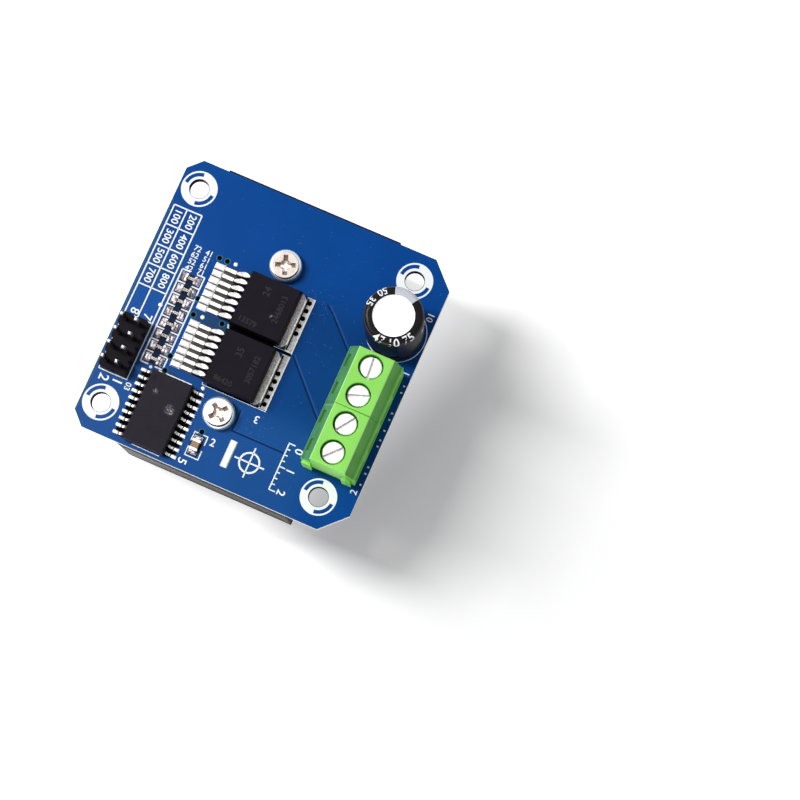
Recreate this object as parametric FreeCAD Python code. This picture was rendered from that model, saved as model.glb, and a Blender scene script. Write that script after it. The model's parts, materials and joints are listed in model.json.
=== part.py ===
import FreeCAD, Part
import math
import os

from FreeCAD import Vector

# Motor driver module: a square circuit board that carries two power chips, a logic chip, small chip
# parts, a capacitor, a pin header and two terminal blocks, screwed onto a finned heatsink.
# Sizes are in millimetres. The origin is the centre of the four fixing holes, at the underside of the
# board. +X points to the terminal blocks, +Y along the heatsink's width, +Z out of the component side.

# Circuit board
board_thickness = 1.6
hole_spacing_x = 40.0
hole_spacing_y = 40.0
fixing_hole_radius = 1.65
margin_left = 3.55
margin_right = 6.1
margin_front = 5.05
margin_back = 4.85
corner_cut_left = 2.3
corner_cut_right = 4.2
screw_hole_radius = 1.7

# Heatsink, an extrusion along X whose fins point down, between the two rows of solder joints
heatsink_gap_left = 1.18
heatsink_gap_right = 3.72
heatsink_height = 27.0
heatsink_base = 3.2
heatsink_centre_y = 0.58
fin_count = 8
fin_tip = 1.6
fin_root = 2.1
fin_tip_round = 0.25
base_edge_round = 0.4
pad_thickness = 0.3
pad_inset = 1.2

# Screws that hold the heatsink, cross-recessed pan heads
heatsink_screw_x = -0.9
heatsink_screw_centre_y = -0.2
heatsink_screw_groove_count = 4
driver_screw_gap = 0.6
screw_head_radius = 2.75
screw_head_height = 2.0
screw_head_round = 0.55
screw_shank_radius = 1.45
screw_length = 6.4
screw_tip_chamfer = 0.3
thread_clearance = 0.05
recess_span = 3.5
recess_arm_width = 0.8
recess_centre_radius = 0.9
recess_depth = 1.3
recess_bottom_share = 0.45
recess_turns_deg = (20.0, 50.0)

# Power driver chips
driver_centre_x = -0.78
driver_gap = 0.66
driver_depth = 9.25
driver_end_margin = 1.19
driver_height = 4.4
driver_parting = 2.4
driver_draft = 0.3
driver_tab_thickness = 1.27
driver_tab_reach = 1.0
driver_tab_width = 9.7
driver_tab_hidden_depth = 6.4
driver_tab_hidden_width = 7.6
driver_tab_corner = 0.8
driver_tab_notch = 0.45
driver_lead_count = 7
lead_pitch = 1.27
driver_lead_width = 0.7
driver_lead_stub_width = 0.98
driver_lead_stub_taper = 0.3
driver_lead_stub_slope_share = 0.33
driver_lead_thickness = 0.5
driver_lead_inside = 0.8
driver_lead_shoulder = 1.0
driver_lead_slope = 1.7
driver_lead_foot = 2.0
driver_lead_height = 2.7
driver_lead_bend = 0.3

# Logic chip
logic_centre_x = -10.25
logic_driver_gap = 1.12
logic_depth = 7.5
logic_end_margin = 0.685
logic_standoff = 0.15
logic_height = 2.5
logic_parting = 1.35
logic_draft = 0.18
logic_bevel = 0.45
logic_dimple_radius = 0.5
logic_dimple_depth = 0.1
logic_dimple_inset = 1.25
logic_lead_count = 10
logic_lead_width = 0.42
logic_lead_thickness = 0.26
logic_lead_inside = 0.5
logic_lead_shoulder = 0.35
logic_lead_slope = 0.3
logic_lead_foot = 0.75
logic_lead_height = 1.48
logic_lead_bend = 0.12

# Chip resistors
resistor_count = 8
resistor_centre_x = -14.8
resistor_first_y = 5.2
resistor_pitch = 2.14
resistor_length = 2.0
resistor_width = 1.25
resistor_height = 0.5
resistor_end = 0.4
resistor_end_wrap = 0.04

# Ceramic chip capacitor
ceramic_centre_x = -2.4
ceramic_centre_y = -20.3
ceramic_length = 2.0
ceramic_width = 1.3
ceramic_height = 1.05
ceramic_end = 0.45
ceramic_end_wrap = 0.04
ceramic_edge_round = 0.1

# Electrolytic capacitor
capacitor_x = 20.33
capacitor_terminal_gap = 1.435
capacitor_can_radius = 4.86
capacitor_can_bottom = 0.45
capacitor_can_height = 13.35
capacitor_can_wall = 0.3
capacitor_top_round = 0.7
capacitor_top_dish = 0.15
capacitor_top_disc_radius = 3.4
capacitor_bead_height = 2.4
capacitor_bead_half = 0.7
capacitor_bead_floor_half = 0.23
capacitor_bead_depth = 0.5
capacitor_vent_width = 0.22
capacitor_vent_depth = 0.12
capacitor_vent_length = 5.4
sleeve_wall = 0.14
sleeve_fold_gap = 0.1
seal_height = 2.0
seal_foot_radius = 2.6
capacitor_lead_pitch = 5.0
capacitor_lead_radius = 0.3
capacitor_lead_inside = 1.2
capacitor_lead_tail = 1.5

# Terminal blocks, two poles each
terminal_x = 20.17
terminal_row_centre_y = -5.72
terminal_pitch = 5.08
poles_per_block = 2
block_count = 2
block_seam = 0.05
housing_back = 4.9
housing_front = 4.65
housing_height = 11.7
housing_top_back = 3.0
housing_top_front = 3.2
housing_back_shoulder = 7.0
housing_front_shoulder = 8.0
housing_front_lip = 0.45
housing_edge_round = 0.2
well_radius = 2.1
window_width = 3.2
window_bottom = 0.7
window_top = 4.9
window_funnel = 0.35
back_slot_length = 2.2
back_slot_width = 0.5
back_slot_rise = 0.9
back_slot_inset = 0.45
dovetail_width = 1.3
dovetail_reach = 0.55
dovetail_flare = 0.2
dovetail_height = 6.2
dovetail_clearance = 0.1
dovetail_back_x = -3.8
dovetail_front_x = 3.3

# Clamp boxes, pressure plates and screws inside the terminal blocks
clamp_depth = 5.0
clamp_width = 3.8
clamp_side = 0.5
clamp_floor = 0.7
clamp_thread_wall = 1.5
clamp_edge_round = 0.3
clamp_clearance = 0.12
wire_gap = 3.4
plate_thickness = 0.8
plate_clearance = 0.1
plate_depth = 3.6
terminal_screw_radius = 1.2
terminal_head_radius = 1.85
terminal_head_height = 1.85
terminal_head_edge = 0.15
terminal_slot_width = 0.5
terminal_slot_depth = 0.7
terminal_stub_radius = 0.6
terminal_stub_length = 0.6
terminal_screw_pitch = 0.45
terminal_screw_turns = 5
terminal_seat_gap = 0.1
terminal_slot_angles_deg = (95.0, 20.0, 55.0, 47.0)
terminal_pin_width = 0.9
terminal_pin_thickness = 0.8
terminal_pin_tail = 1.9
terminal_pin_tip = 0.2
terminal_hole_radius = 0.66

# Pin header
header_centre_x = -20.2
header_centre_y = -9.6
header_pitch = 2.54
header_rows = 2
header_columns = 4
header_base_height = 2.5
header_notch = 0.5
header_pin_size = 0.64
header_pin_above = 6.0
header_pin_tail = 1.4
header_pin_tip = 0.2
header_hole_radius = 0.5

# Solder joints under the board
terminal_joint_radius = 1.45
terminal_joint_height = 1.2
header_joint_radius = 0.85
header_joint_height = 0.9
capacitor_joint_radius = 1.0
capacitor_joint_height = 1.0
capacitor_hole_radius = 0.42
joint_neck = 0.2
joint_waist_radius_share = 0.45
joint_waist_height_share = 0.3

# How far the tool of a cut runs past the face where it starts
cut_overrun = 1.0

# Places that follow from the sizes above
board_x_min = -hole_spacing_x / 2 - margin_left
board_x_max = hole_spacing_x / 2 + margin_right
board_y_min = -hole_spacing_y / 2 - margin_front
board_y_max = hole_spacing_y / 2 + margin_back
board_top = board_thickness
driver_width = (driver_lead_count - 1) * lead_pitch + 2 * driver_end_margin
driver_offset_y = (driver_width + driver_gap) / 2
logic_width = (logic_lead_count - 1) * lead_pitch + 2 * logic_end_margin
logic_centre_y = -driver_offset_y - (driver_width + logic_width) / 2 - logic_driver_gap
heatsink_top = -pad_thickness
heatsink_screw_offset = driver_offset_y + driver_width / 2 + driver_screw_gap + screw_head_radius
heatsink_screw_ys = [heatsink_screw_centre_y + side * heatsink_screw_offset for side in (1, -1)]
fin_pitch = 2 * heatsink_screw_offset / heatsink_screw_groove_count
heatsink_width = (fin_count - 1) * fin_pitch + fin_root
heatsink_x_min = header_centre_x + header_pitch / 2 + header_joint_radius + heatsink_gap_left
heatsink_x_max = terminal_x - terminal_joint_radius - heatsink_gap_right
heatsink_length = heatsink_x_max - heatsink_x_min
heatsink_centre_x = (heatsink_x_min + heatsink_x_max) / 2
header_pins = [
    (header_centre_x + (i - (header_rows - 1) / 2) * header_pitch,
     header_centre_y - (j - (header_columns - 1) / 2) * header_pitch)
    for j in range(header_columns)
    for i in range(header_rows)
]
pole_count = poles_per_block * block_count
pole_ys = [
    terminal_row_centre_y - (i - (pole_count - 1) / 2) * terminal_pitch for i in range(pole_count)
]
terminal_row_y_max = pole_ys[0] + (terminal_pitch - block_seam) / 2
capacitor_y = terminal_row_y_max + capacitor_terminal_gap + capacitor_can_radius + sleeve_wall
capacitor_lead_ys = [capacitor_y + side * capacitor_lead_pitch / 2 for side in (1, -1)]
clamp_bottom = board_top
plate_bottom = clamp_bottom + clamp_floor + wire_gap
plate_top = plate_bottom + plate_thickness
clamp_thread_bottom = plate_top + thread_clearance
clamp_top = clamp_thread_bottom + clamp_thread_wall
terminal_screw_travel = terminal_screw_pitch * terminal_screw_turns
chamber_top = clamp_top + clamp_clearance
terminal_head_bottom = chamber_top + terminal_seat_gap + terminal_screw_travel


def block(x_min, x_max, y_min, y_max, z_min, z_max):
    corner = Vector(x_min, y_min, z_min)
    return Part.makeBox(x_max - x_min, y_max - y_min, z_max - z_min, corner)


def post(x, y, z_min, z_max, radius):
    return Part.makeCylinder(radius, z_max - z_min, Vector(x, y, z_min), Vector(0, 0, 1))


def prism(points, direction):
    corners = [Vector(*p) for p in points]
    return Part.Face(Part.makePolygon(corners + corners[:1])).extrude(direction)


def rectangle(x_min, x_max, y_min, y_max, z):
    corners = [
        Vector(x_min, y_min, z), Vector(x_max, y_min, z),
        Vector(x_max, y_max, z), Vector(x_min, y_max, z),
    ]
    return Part.makePolygon(corners + corners[:1])


def frustum(x_min, x_max, y_min, y_max, z_low, inset_low, z_high, inset_high):
    """Four-sided block whose walls lean in from one level to the other."""
    low = rectangle(x_min + inset_low, x_max - inset_low, y_min + inset_low, y_max - inset_low, z_low)
    high = rectangle(
        x_min + inset_high, x_max - inset_high, y_min + inset_high, y_max - inset_high, z_high
    )
    return Part.makeLoft([low, high], True, True)


def turned(x, y, outline):
    """Solid of revolution about a vertical axis from (radius, height) points."""
    corners = [Vector(r, 0, z) for r, z in outline]
    face = Part.Face(Part.makePolygon(corners + corners[:1]))
    solid = face.revolve(Vector(0, 0, 0), Vector(0, 0, 1), 360)
    solid.translate(Vector(x, y, 0))
    return solid


def edges_at(shape, test):
    """Straight edges whose two ends both pass a test on a point."""
    return [e for e in shape.Edges if len(e.Vertexes) == 2 and all(test(v.Point) for v in e.Vertexes)]


def near(a, b):
    return abs(a - b) < 1e-4


def gull_lead(width, thickness, inside, shoulder, slope, foot, height, bend):
    """One bent strip that leaves a body at x = 0 towards -X, with its foot on z = 0."""
    angle = math.atan2(height - thickness, slope)
    mitre = thickness * math.tan(angle / 2)
    bend_one = -shoulder
    bend_two = -shoulder - slope
    tip = bend_two - foot
    outline = [
        (inside, height), (bend_one, height), (bend_two, thickness), (tip, thickness),
        (tip, 0), (bend_two + mitre, 0), (bend_one + mitre, height - thickness),
        (inside, height - thickness),
    ]
    lead = prism([(x, -width / 2, z) for x, z in outline], Vector(0, width, 0))
    outer_bends = [outline[1], outline[5]]
    inner_bends = [outline[2], outline[6]]
    for corners, radius in ((outer_bends, bend + thickness), (inner_bends, bend)):
        edges = [
            e for x, z in corners
            for e in edges_at(lead, lambda p: near(p.x, x) and near(p.z, z))
        ]
        lead = lead.makeFillet(radius, edges)
    return lead


def moved(shape, x, y, z):
    copy = shape.copy()
    copy.translate(Vector(x, y, z))
    return copy


def half_turned(shape):
    copy = shape.copy()
    copy.rotate(Vector(0, 0, 0), Vector(0, 0, 1), 180)
    return copy


def centred(count, pitch):
    return [(i - (count - 1) / 2) * pitch for i in range(count)]


def circuit_board():
    left, right = corner_cut_left, corner_cut_right
    outline = [
        (board_x_min + left, board_y_min), (board_x_max - right, board_y_min),
        (board_x_max, board_y_min + right), (board_x_max, board_y_max - right),
        (board_x_max - right, board_y_max), (board_x_min + left, board_y_max),
        (board_x_min, board_y_max - left), (board_x_min, board_y_min + left),
    ]
    board = prism([(x, y, 0) for x, y in outline], Vector(0, 0, board_thickness))
    holes = [
        (x, y, fixing_hole_radius)
        for x in (-hole_spacing_x / 2, hole_spacing_x / 2)
        for y in (-hole_spacing_y / 2, hole_spacing_y / 2)
    ]
    holes += [(heatsink_screw_x, y, screw_hole_radius) for y in heatsink_screw_ys]
    holes += [(x, y, header_hole_radius) for x, y in header_pins]
    holes += [(terminal_x, y, terminal_hole_radius) for y in pole_ys]
    holes += [(capacitor_x, y, capacitor_hole_radius) for y in capacitor_lead_ys]
    drills = [post(x, y, -board_thickness, 2 * board_thickness, r) for x, y, r in holes]
    return board.cut(Part.makeCompound(drills))


def heatsink():
    """Comb profile with round groove bottoms, drawn in the YZ plane and extruded along X."""
    tip_z = heatsink_top - heatsink_height
    groove_top = heatsink_top - heatsink_base
    fin_ys = [heatsink_centre_y + y for y in centred(fin_count, fin_pitch)]
    groove_radius = (fin_pitch - fin_root) / 2
    spring_z = groove_top - groove_radius

    def at(y, z):
        return Vector(0, y, z)

    left = fin_ys[0] - fin_root / 2
    right = fin_ys[-1] + fin_root / 2
    edges = [Part.makeLine(at(right, heatsink_top), at(left, heatsink_top))]
    edges.append(Part.makeLine(at(left, heatsink_top), at(left, spring_z)))
    pen = at(left, spring_z)
    for i, y in enumerate(fin_ys):
        low_left = at(y - fin_tip / 2, tip_z)
        low_right = at(y + fin_tip / 2, tip_z)
        root_right = at(y + fin_root / 2, spring_z)
        edges.append(Part.makeLine(pen, low_left))
        edges.append(Part.makeLine(low_left, low_right))
        edges.append(Part.makeLine(low_right, root_right))
        pen = root_right
        if i < fin_count - 1:
            crown = at(y + fin_pitch / 2, groove_top)
            pen = at(y + fin_pitch - fin_root / 2, spring_z)
            edges.append(Part.Arc(root_right, crown, pen).toShape())
    edges.append(Part.makeLine(pen, at(right, heatsink_top)))
    profile = Part.Face(Part.Wire(edges))
    body = profile.extrude(Vector(heatsink_length, 0, 0))
    tips = edges_at(body, lambda p: near(p.z, tip_z))
    tips = [e for e in tips if near(e.Length, heatsink_length)]
    body = body.makeFillet(fin_tip_round, tips)
    shoulders = [e for e in edges_at(body, lambda p: near(p.z, heatsink_top))
                 if near(e.Length, heatsink_length)]
    body = body.makeFillet(base_edge_round, shoulders)
    body.translate(Vector(heatsink_centre_x - heatsink_length / 2, 0, 0))
    thread_radius = screw_shank_radius + thread_clearance
    for y in heatsink_screw_ys:
        body = body.cut(post(heatsink_screw_x, y, tip_z, heatsink_top + cut_overrun, thread_radius))
    return body


def thermal_pad():
    half_x = heatsink_length / 2 - pad_inset
    half_y = heatsink_width / 2 - pad_inset
    pad = block(
        heatsink_centre_x - half_x, heatsink_centre_x + half_x,
        heatsink_centre_y - half_y, heatsink_centre_y + half_y, heatsink_top, 0,
    )
    for y in heatsink_screw_ys:
        pad = pad.cut(post(heatsink_screw_x, y, heatsink_top, 0, screw_hole_radius))
    return pad


def cross_recess(z_top, turn):
    """Cross recess: two crossed arms and a round centre that narrow towards the bottom."""
    arms = []
    for span_x, span_y in ((recess_span, recess_arm_width), (recess_arm_width, recess_span)):
        top = rectangle(-span_x / 2, span_x / 2, -span_y / 2, span_y / 2, z_top)
        low_x = span_x * recess_bottom_share
        low_y = span_y * recess_bottom_share
        low = rectangle(-low_x / 2, low_x / 2, -low_y / 2, low_y / 2, z_top - recess_depth)
        arms.append(Part.makeLoft([low, top], True, True))
    low_radius = recess_centre_radius * recess_bottom_share
    z_low = Vector(0, 0, z_top - recess_depth)
    centre = Part.makeCone(low_radius, recess_centre_radius, recess_depth, z_low, Vector(0, 0, 1))
    recess = centre.multiFuse(arms)
    recess.rotate(Vector(0, 0, 0), Vector(0, 0, 1), turn)
    return recess


def heatsink_screw(y, turn):
    head = post(0, 0, board_top, board_top + screw_head_height, screw_head_radius)
    rim = [e for e in head.Edges if near(e.BoundBox.ZMin, head.BoundBox.ZMax)]
    head = head.makeFillet(screw_head_round, rim)
    head = head.cut(cross_recess(board_top + screw_head_height, turn))
    shank = post(0, 0, board_top - screw_length, board_top, screw_shank_radius)
    tip = [e for e in shank.Edges
           if near(e.BoundBox.ZMax, shank.BoundBox.ZMin) and len(e.Vertexes) == 1]
    shank = shank.makeChamfer(screw_tip_chamfer, tip)
    screw = head.fuse(shank).removeSplitter()
    screw.translate(Vector(heatsink_screw_x, y, 0))
    return screw


def heatsink_screws():
    return [heatsink_screw(y, turn) for y, turn in zip(heatsink_screw_ys, recess_turns_deg)]


def driver_lead():
    """Bent strip trimmed to the plan of a lead, which is wider beside the body than at its foot."""
    strip = gull_lead(
        driver_lead_stub_width, driver_lead_thickness, driver_lead_inside, driver_lead_shoulder,
        driver_lead_slope, driver_lead_foot, driver_lead_height, driver_lead_bend,
    )
    wide = driver_lead_stub_width / 2
    slim = driver_lead_width / 2
    taper = driver_lead_stub_taper
    stub_end = -driver_lead_shoulder - driver_lead_slope * driver_lead_stub_slope_share
    tip = strip.BoundBox.XMin - cut_overrun
    side = [
        (driver_lead_inside + cut_overrun, slim), (0, slim), (-taper, wide), (stub_end + taper, wide),
        (stub_end, slim), (tip, slim),
    ]
    plan = side + [(x, -y) for x, y in reversed(side)]
    trim = prism([(x, y, 0) for x, y in plan], Vector(0, 0, driver_lead_height))
    return strip.common(trim)


def driver(centre_y):
    """Body, tab and leads of one power chip. The body is moulded round the other two."""
    back = driver_centre_x - driver_depth / 2
    front = driver_centre_x + driver_depth / 2
    low = centre_y - driver_width / 2
    high = centre_y + driver_width / 2
    z = board_top
    parting = z + driver_parting
    body = frustum(back, front, low, high, z, driver_draft, parting, 0)
    body = body.fuse(frustum(back, front, low, high, parting, 0, z + driver_height, driver_draft))

    half_hidden = driver_tab_hidden_width / 2
    half_tab = driver_tab_width / 2
    corner = driver_tab_corner
    notch = driver_tab_notch
    tip = front + driver_tab_reach
    neck = front - driver_draft - notch
    outline = [
        (front - driver_tab_hidden_depth, -half_hidden), (neck, -half_hidden), (neck, -half_tab),
        (tip - corner, -half_tab), (tip, -half_tab + corner), (tip, half_tab - corner),
        (tip - corner, half_tab), (neck, half_tab), (neck, half_hidden),
        (front - driver_tab_hidden_depth, half_hidden),
    ]
    points = [(x, centre_y + y, z) for x, y in outline]
    tab = prism(points, Vector(0, 0, driver_tab_thickness))

    lead = driver_lead()
    leads = [moved(lead, back, centre_y + y, z) for y in centred(driver_lead_count, lead_pitch)]
    body = body.cut(Part.makeCompound([tab] + leads)).removeSplitter()
    return body, tab, leads


def logic_chip():
    """Body and leads of the logic chip, with the bevelled long edge on the side of its first lead."""
    z = board_top
    back = logic_centre_x - logic_depth / 2
    front = logic_centre_x + logic_depth / 2
    low = logic_centre_y - logic_width / 2
    high = logic_centre_y + logic_width / 2
    parting = z + logic_parting
    top = z + logic_height
    body = frustum(back, front, low, high, z + logic_standoff, logic_draft, parting, 0)
    body = body.fuse(frustum(back, front, low, high, parting, 0, top, logic_draft))
    edge = back + logic_draft
    bevel = prism(
        [(edge - logic_bevel, low, top - logic_bevel), (edge - logic_bevel, low, top + logic_bevel),
         (edge + logic_bevel, low, top + logic_bevel)],
        Vector(0, logic_width, 0),
    )
    body = body.cut(bevel)
    dimple_x = back + logic_dimple_inset
    dimple_y = high - logic_dimple_inset
    body = body.cut(post(dimple_x, dimple_y, top - logic_dimple_depth, top, logic_dimple_radius))

    lead = gull_lead(
        logic_lead_width, logic_lead_thickness, logic_lead_inside, logic_lead_shoulder,
        logic_lead_slope, logic_lead_foot, logic_lead_height, logic_lead_bend,
    )
    leads = []
    for y in centred(logic_lead_count, lead_pitch):
        leads.append(moved(lead, back, logic_centre_y + y, z))
        leads.append(moved(half_turned(lead), front, logic_centre_y + y, z))
    body = body.cut(Part.makeCompound(leads)).removeSplitter()
    return body, leads


def chip_part(x, y, length, width, height, end, wrap, along_y):
    """Body and two metal ends of a small chip part that lies on the board."""
    core = block(-length / 2 + wrap, length / 2 - wrap, -width / 2, width / 2, wrap, height)
    half = width / 2 + wrap
    caps = [
        block(-length / 2, -length / 2 + end, -half, half, 0, height + wrap).cut(core),
        block(length / 2 - end, length / 2, -half, half, 0, height + wrap).cut(core),
    ]
    pieces = [core] + caps
    for piece in pieces:
        if along_y:
            piece.rotate(Vector(0, 0, 0), Vector(0, 0, 1), 90)
        piece.translate(Vector(x, y, board_top))
    return pieces[0], pieces[1:]


def resistor(i):
    return chip_part(
        resistor_centre_x, resistor_first_y - i * resistor_pitch, resistor_length, resistor_width,
        resistor_height, resistor_end, resistor_end_wrap, False,
    )


def ceramic_capacitor():
    body, ends = chip_part(
        ceramic_centre_x, ceramic_centre_y, ceramic_length, ceramic_width, ceramic_height,
        ceramic_end, ceramic_end_wrap, True,
    )
    outer = [cap.makeFillet(ceramic_edge_round, outer_edges(cap, ceramic_centre_y)) for cap in ends]
    return body, outer


def outer_edges(cap, centre_y):
    """The upright and top edges of a metal end, on the face that looks away from the chip."""
    box = cap.BoundBox
    face_y = box.YMax if box.Center.y > centre_y else box.YMin
    edges = edges_at(cap, lambda p: near(p.y, face_y))
    return [e for e in edges if not near(e.BoundBox.ZMax, box.ZMin)]


def can_body(offset):
    """Solid can with its pressed-in bead, its skin moved outwards by an offset."""
    r = capacitor_can_radius + offset
    z_low = board_top + capacitor_can_bottom - offset
    z_high = board_top + capacitor_can_height + offset
    bead = board_top + capacitor_bead_height
    half = capacitor_bead_half
    waist = r - capacitor_bead_depth
    outline = [
        (0, z_low), (r, z_low), (r, bead - half), (waist, bead - capacitor_bead_floor_half),
        (waist, bead + capacitor_bead_floor_half), (r, bead + half), (r, z_high), (0, z_high),
    ]
    body = turned(0, 0, outline)
    rim = [e for e in body.Edges if near(e.Vertexes[0].Z, z_high) and len(e.Vertexes) == 1]
    body = body.makeFillet(capacitor_top_round + offset, rim)
    body.translate(Vector(capacitor_x, capacitor_y, 0))
    return body


def seal_radius():
    return capacitor_can_radius - capacitor_bead_depth - capacitor_can_wall


def capacitor_can():
    z_low = board_top + capacitor_can_bottom
    z_high = board_top + capacitor_can_height
    x, y = capacitor_x, capacitor_y
    mouth = post(x, y, z_low, z_low + seal_height, seal_radius())
    dish = post(x, y, z_high - capacitor_top_dish, z_high + cut_overrun, capacitor_top_disc_radius)
    vent_z = z_high - capacitor_top_dish - capacitor_vent_depth
    half = capacitor_vent_length / 2
    wide = capacitor_vent_width / 2
    scores = [
        block(x - half, x + half, y - wide, y + wide, vent_z, z_high),
        block(x - wide, x + wide, y - half, y + half, vent_z, z_high),
    ]
    return can_body(0).cut(mouth).cut(dish).cut(scores[0]).cut(scores[1])


def capacitor_sleeve():
    """Shrunk film round the can, turned over its top edge and under its foot."""
    x, y = capacitor_x, capacitor_y
    z_low = board_top + capacitor_can_bottom
    z_high = board_top + capacitor_can_height
    film = can_body(sleeve_wall).cut(can_body(0))
    over = cut_overrun
    film = film.cut(post(x, y, z_high - over, z_high + over, capacitor_top_disc_radius + sleeve_fold_gap))
    return film.cut(post(x, y, z_low - over, z_low + over, seal_radius() + sleeve_fold_gap))


def capacitor_seal():
    z_low = board_top + capacitor_can_bottom
    inner = seal_radius()
    foot = seal_foot_radius
    foot_z = board_top
    outline = [
        (0, foot_z), (foot, foot_z), (foot, z_low), (inner, z_low),
        (inner, z_low + seal_height), (0, z_low + seal_height),
    ]
    seal = turned(capacitor_x, capacitor_y, outline)
    return seal.cut(Part.makeCompound([capacitor_lead(y) for y in capacitor_lead_ys]))


def capacitor_lead(y):
    top = board_top + capacitor_can_bottom + capacitor_lead_inside
    return post(capacitor_x, y, -capacitor_lead_tail, top, capacitor_lead_radius)


def dovetail(x, y_face, reach, grow):
    """Upright rib with undercut sides, on a face that looks along -Y."""
    half = dovetail_width / 2 + grow
    tip = half + dovetail_flare
    outline = [(x - half, y_face), (x + half, y_face), (x + tip, y_face - reach), (x - tip, y_face - reach)]
    points = [(px, py, board_top) for px, py in outline]
    return prism(points, Vector(0, 0, dovetail_height + grow))


def terminal_housing(index):
    """Moulded two-pole housing: a sloped section along Y with wells, chambers and wire windows."""
    ys = pole_ys[index * poles_per_block:(index + 1) * poles_per_block]
    y_low = min(ys) - terminal_pitch / 2 + block_seam / 2
    y_high = max(ys) + terminal_pitch / 2 - block_seam / 2
    back = terminal_x - housing_back
    front = terminal_x + housing_front
    top = board_top + housing_height
    section = [
        (back, board_top), (back, board_top + housing_back_shoulder),
        (terminal_x - housing_top_back, top), (terminal_x + housing_top_front, top),
        (front - housing_front_lip, board_top + housing_front_shoulder + housing_front_lip),
        (front, board_top + housing_front_shoulder), (front, board_top),
    ]
    body = prism([(x, y_low, z) for x, z in section], Vector(0, y_high - y_low, 0))
    top_edges = edges_at(body, lambda p: near(p.z, top))
    body = body.makeFillet(housing_edge_round, top_edges)

    cuts = []
    for y in ys:
        cuts.append(post(terminal_x, y, board_top, top + cut_overrun, well_radius))
        half_x = clamp_depth / 2 + clamp_clearance
        half_y = clamp_width / 2 + clamp_clearance
        cuts.append(block(terminal_x - half_x, terminal_x + half_x, y - half_y, y + half_y,
                          board_top, chamber_top))
        cuts.append(wire_window(y, front))
        cuts.append(back_slot(y, back))
    for x in (dovetail_back_x, dovetail_front_x):
        cuts.append(dovetail(terminal_x + x, y_high, dovetail_reach + dovetail_clearance,
                             dovetail_clearance))
    body = body.cut(Part.makeCompound(cuts))
    ribs = [dovetail(terminal_x + x, y_low, dovetail_reach, 0) for x in (dovetail_back_x, dovetail_front_x)]
    return body.multiFuse(ribs).removeSplitter()


def wire_window(y, front):
    """Wire entry through the front wall, flared at its mouth."""
    z_low = board_top + window_bottom
    z_high = board_top + window_top
    half = window_width / 2
    tunnel = block(terminal_x, front + cut_overrun, y - half, y + half, z_low, z_high)
    f = window_funnel

    def mouth(x, grow):
        corners = [
            Vector(x, y - half - grow, z_low - grow), Vector(x, y + half + grow, z_low - grow),
            Vector(x, y + half + grow, z_high + grow), Vector(x, y - half - grow, z_high + grow),
        ]
        return Part.makePolygon(corners + corners[:1])

    flare = Part.makeLoft([mouth(front - f, 0), mouth(front, f)], True, True)
    return tunnel.fuse(flare)


def back_slot(y, back):
    x = back + back_slot_inset
    z = board_top + housing_back_shoulder + back_slot_rise
    half = back_slot_length / 2
    return block(x, x + back_slot_width, y - half, y + half, z, board_top + housing_height)


def clamp_box(y):
    """Folded metal box with a threaded top and the solder pin below it."""
    half_x = clamp_depth / 2
    half_y = clamp_width / 2
    box = block(terminal_x - half_x, terminal_x + half_x, y - half_y, y + half_y, clamp_bottom, clamp_top)
    folds = edges_at(box, lambda p: near(p.z, clamp_bottom) or near(p.z, clamp_top))
    folds = [e for e in folds if near(e.Length, clamp_depth)]
    box = box.makeFillet(clamp_edge_round, folds)
    inner = half_y - clamp_side
    hollow = block(terminal_x - half_x, terminal_x + half_x, y - inner, y + inner,
                   clamp_bottom + clamp_floor, clamp_thread_bottom)
    thread = post(terminal_x, y, clamp_thread_bottom, clamp_top, terminal_screw_radius + thread_clearance)
    return box.cut(hollow).cut(thread).fuse(terminal_pin(y)).removeSplitter()


def terminal_pin(y):
    half_x = terminal_pin_thickness / 2
    half_y = terminal_pin_width / 2
    t = terminal_pin_tip
    z_tip = -terminal_pin_tail
    pin = block(terminal_x - half_x, terminal_x + half_x, y - half_y, y + half_y, z_tip + t, clamp_bottom)
    low = rectangle(terminal_x - half_x + t, terminal_x + half_x - t, y - half_y + t, y + half_y - t, z_tip)
    high = rectangle(terminal_x - half_x, terminal_x + half_x, y - half_y, y + half_y, z_tip + t)
    return pin.fuse(Part.makeLoft([low, high], True, True))


def pressure_plate(y):
    """Plate that presses on the wire, drilled for the stub of its screw."""
    half_x = plate_depth / 2
    half_y = clamp_width / 2 - clamp_side - plate_clearance
    plate = block(terminal_x - half_x, terminal_x + half_x, y - half_y, y + half_y, plate_bottom, plate_top)
    return plate.cut(post(terminal_x, y, plate_bottom, plate_top, terminal_stub_radius + thread_clearance))


def terminal_screw(y, slot_angle):
    """Slotted cheese-head screw with a thin stub that turns in the pressure plate."""
    top = terminal_head_bottom + terminal_head_height
    head = post(0, 0, terminal_head_bottom, top, terminal_head_radius)
    rim = [e for e in head.Edges if near(e.BoundBox.ZMin, top)]
    head = head.makeChamfer(terminal_head_edge, rim)
    half = terminal_slot_width / 2
    slot = block(-terminal_head_radius, terminal_head_radius, -half, half, top - terminal_slot_depth, top)
    slot.rotate(Vector(0, 0, 0), Vector(0, 0, 1), slot_angle)
    shank = post(0, 0, plate_top + thread_clearance, terminal_head_bottom, terminal_screw_radius)
    stub = post(0, 0, plate_top - terminal_stub_length, plate_top + thread_clearance, terminal_stub_radius)
    screw = head.cut(slot).multiFuse([shank, stub]).removeSplitter()
    screw.translate(Vector(terminal_x, y, 0))
    return screw


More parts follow.
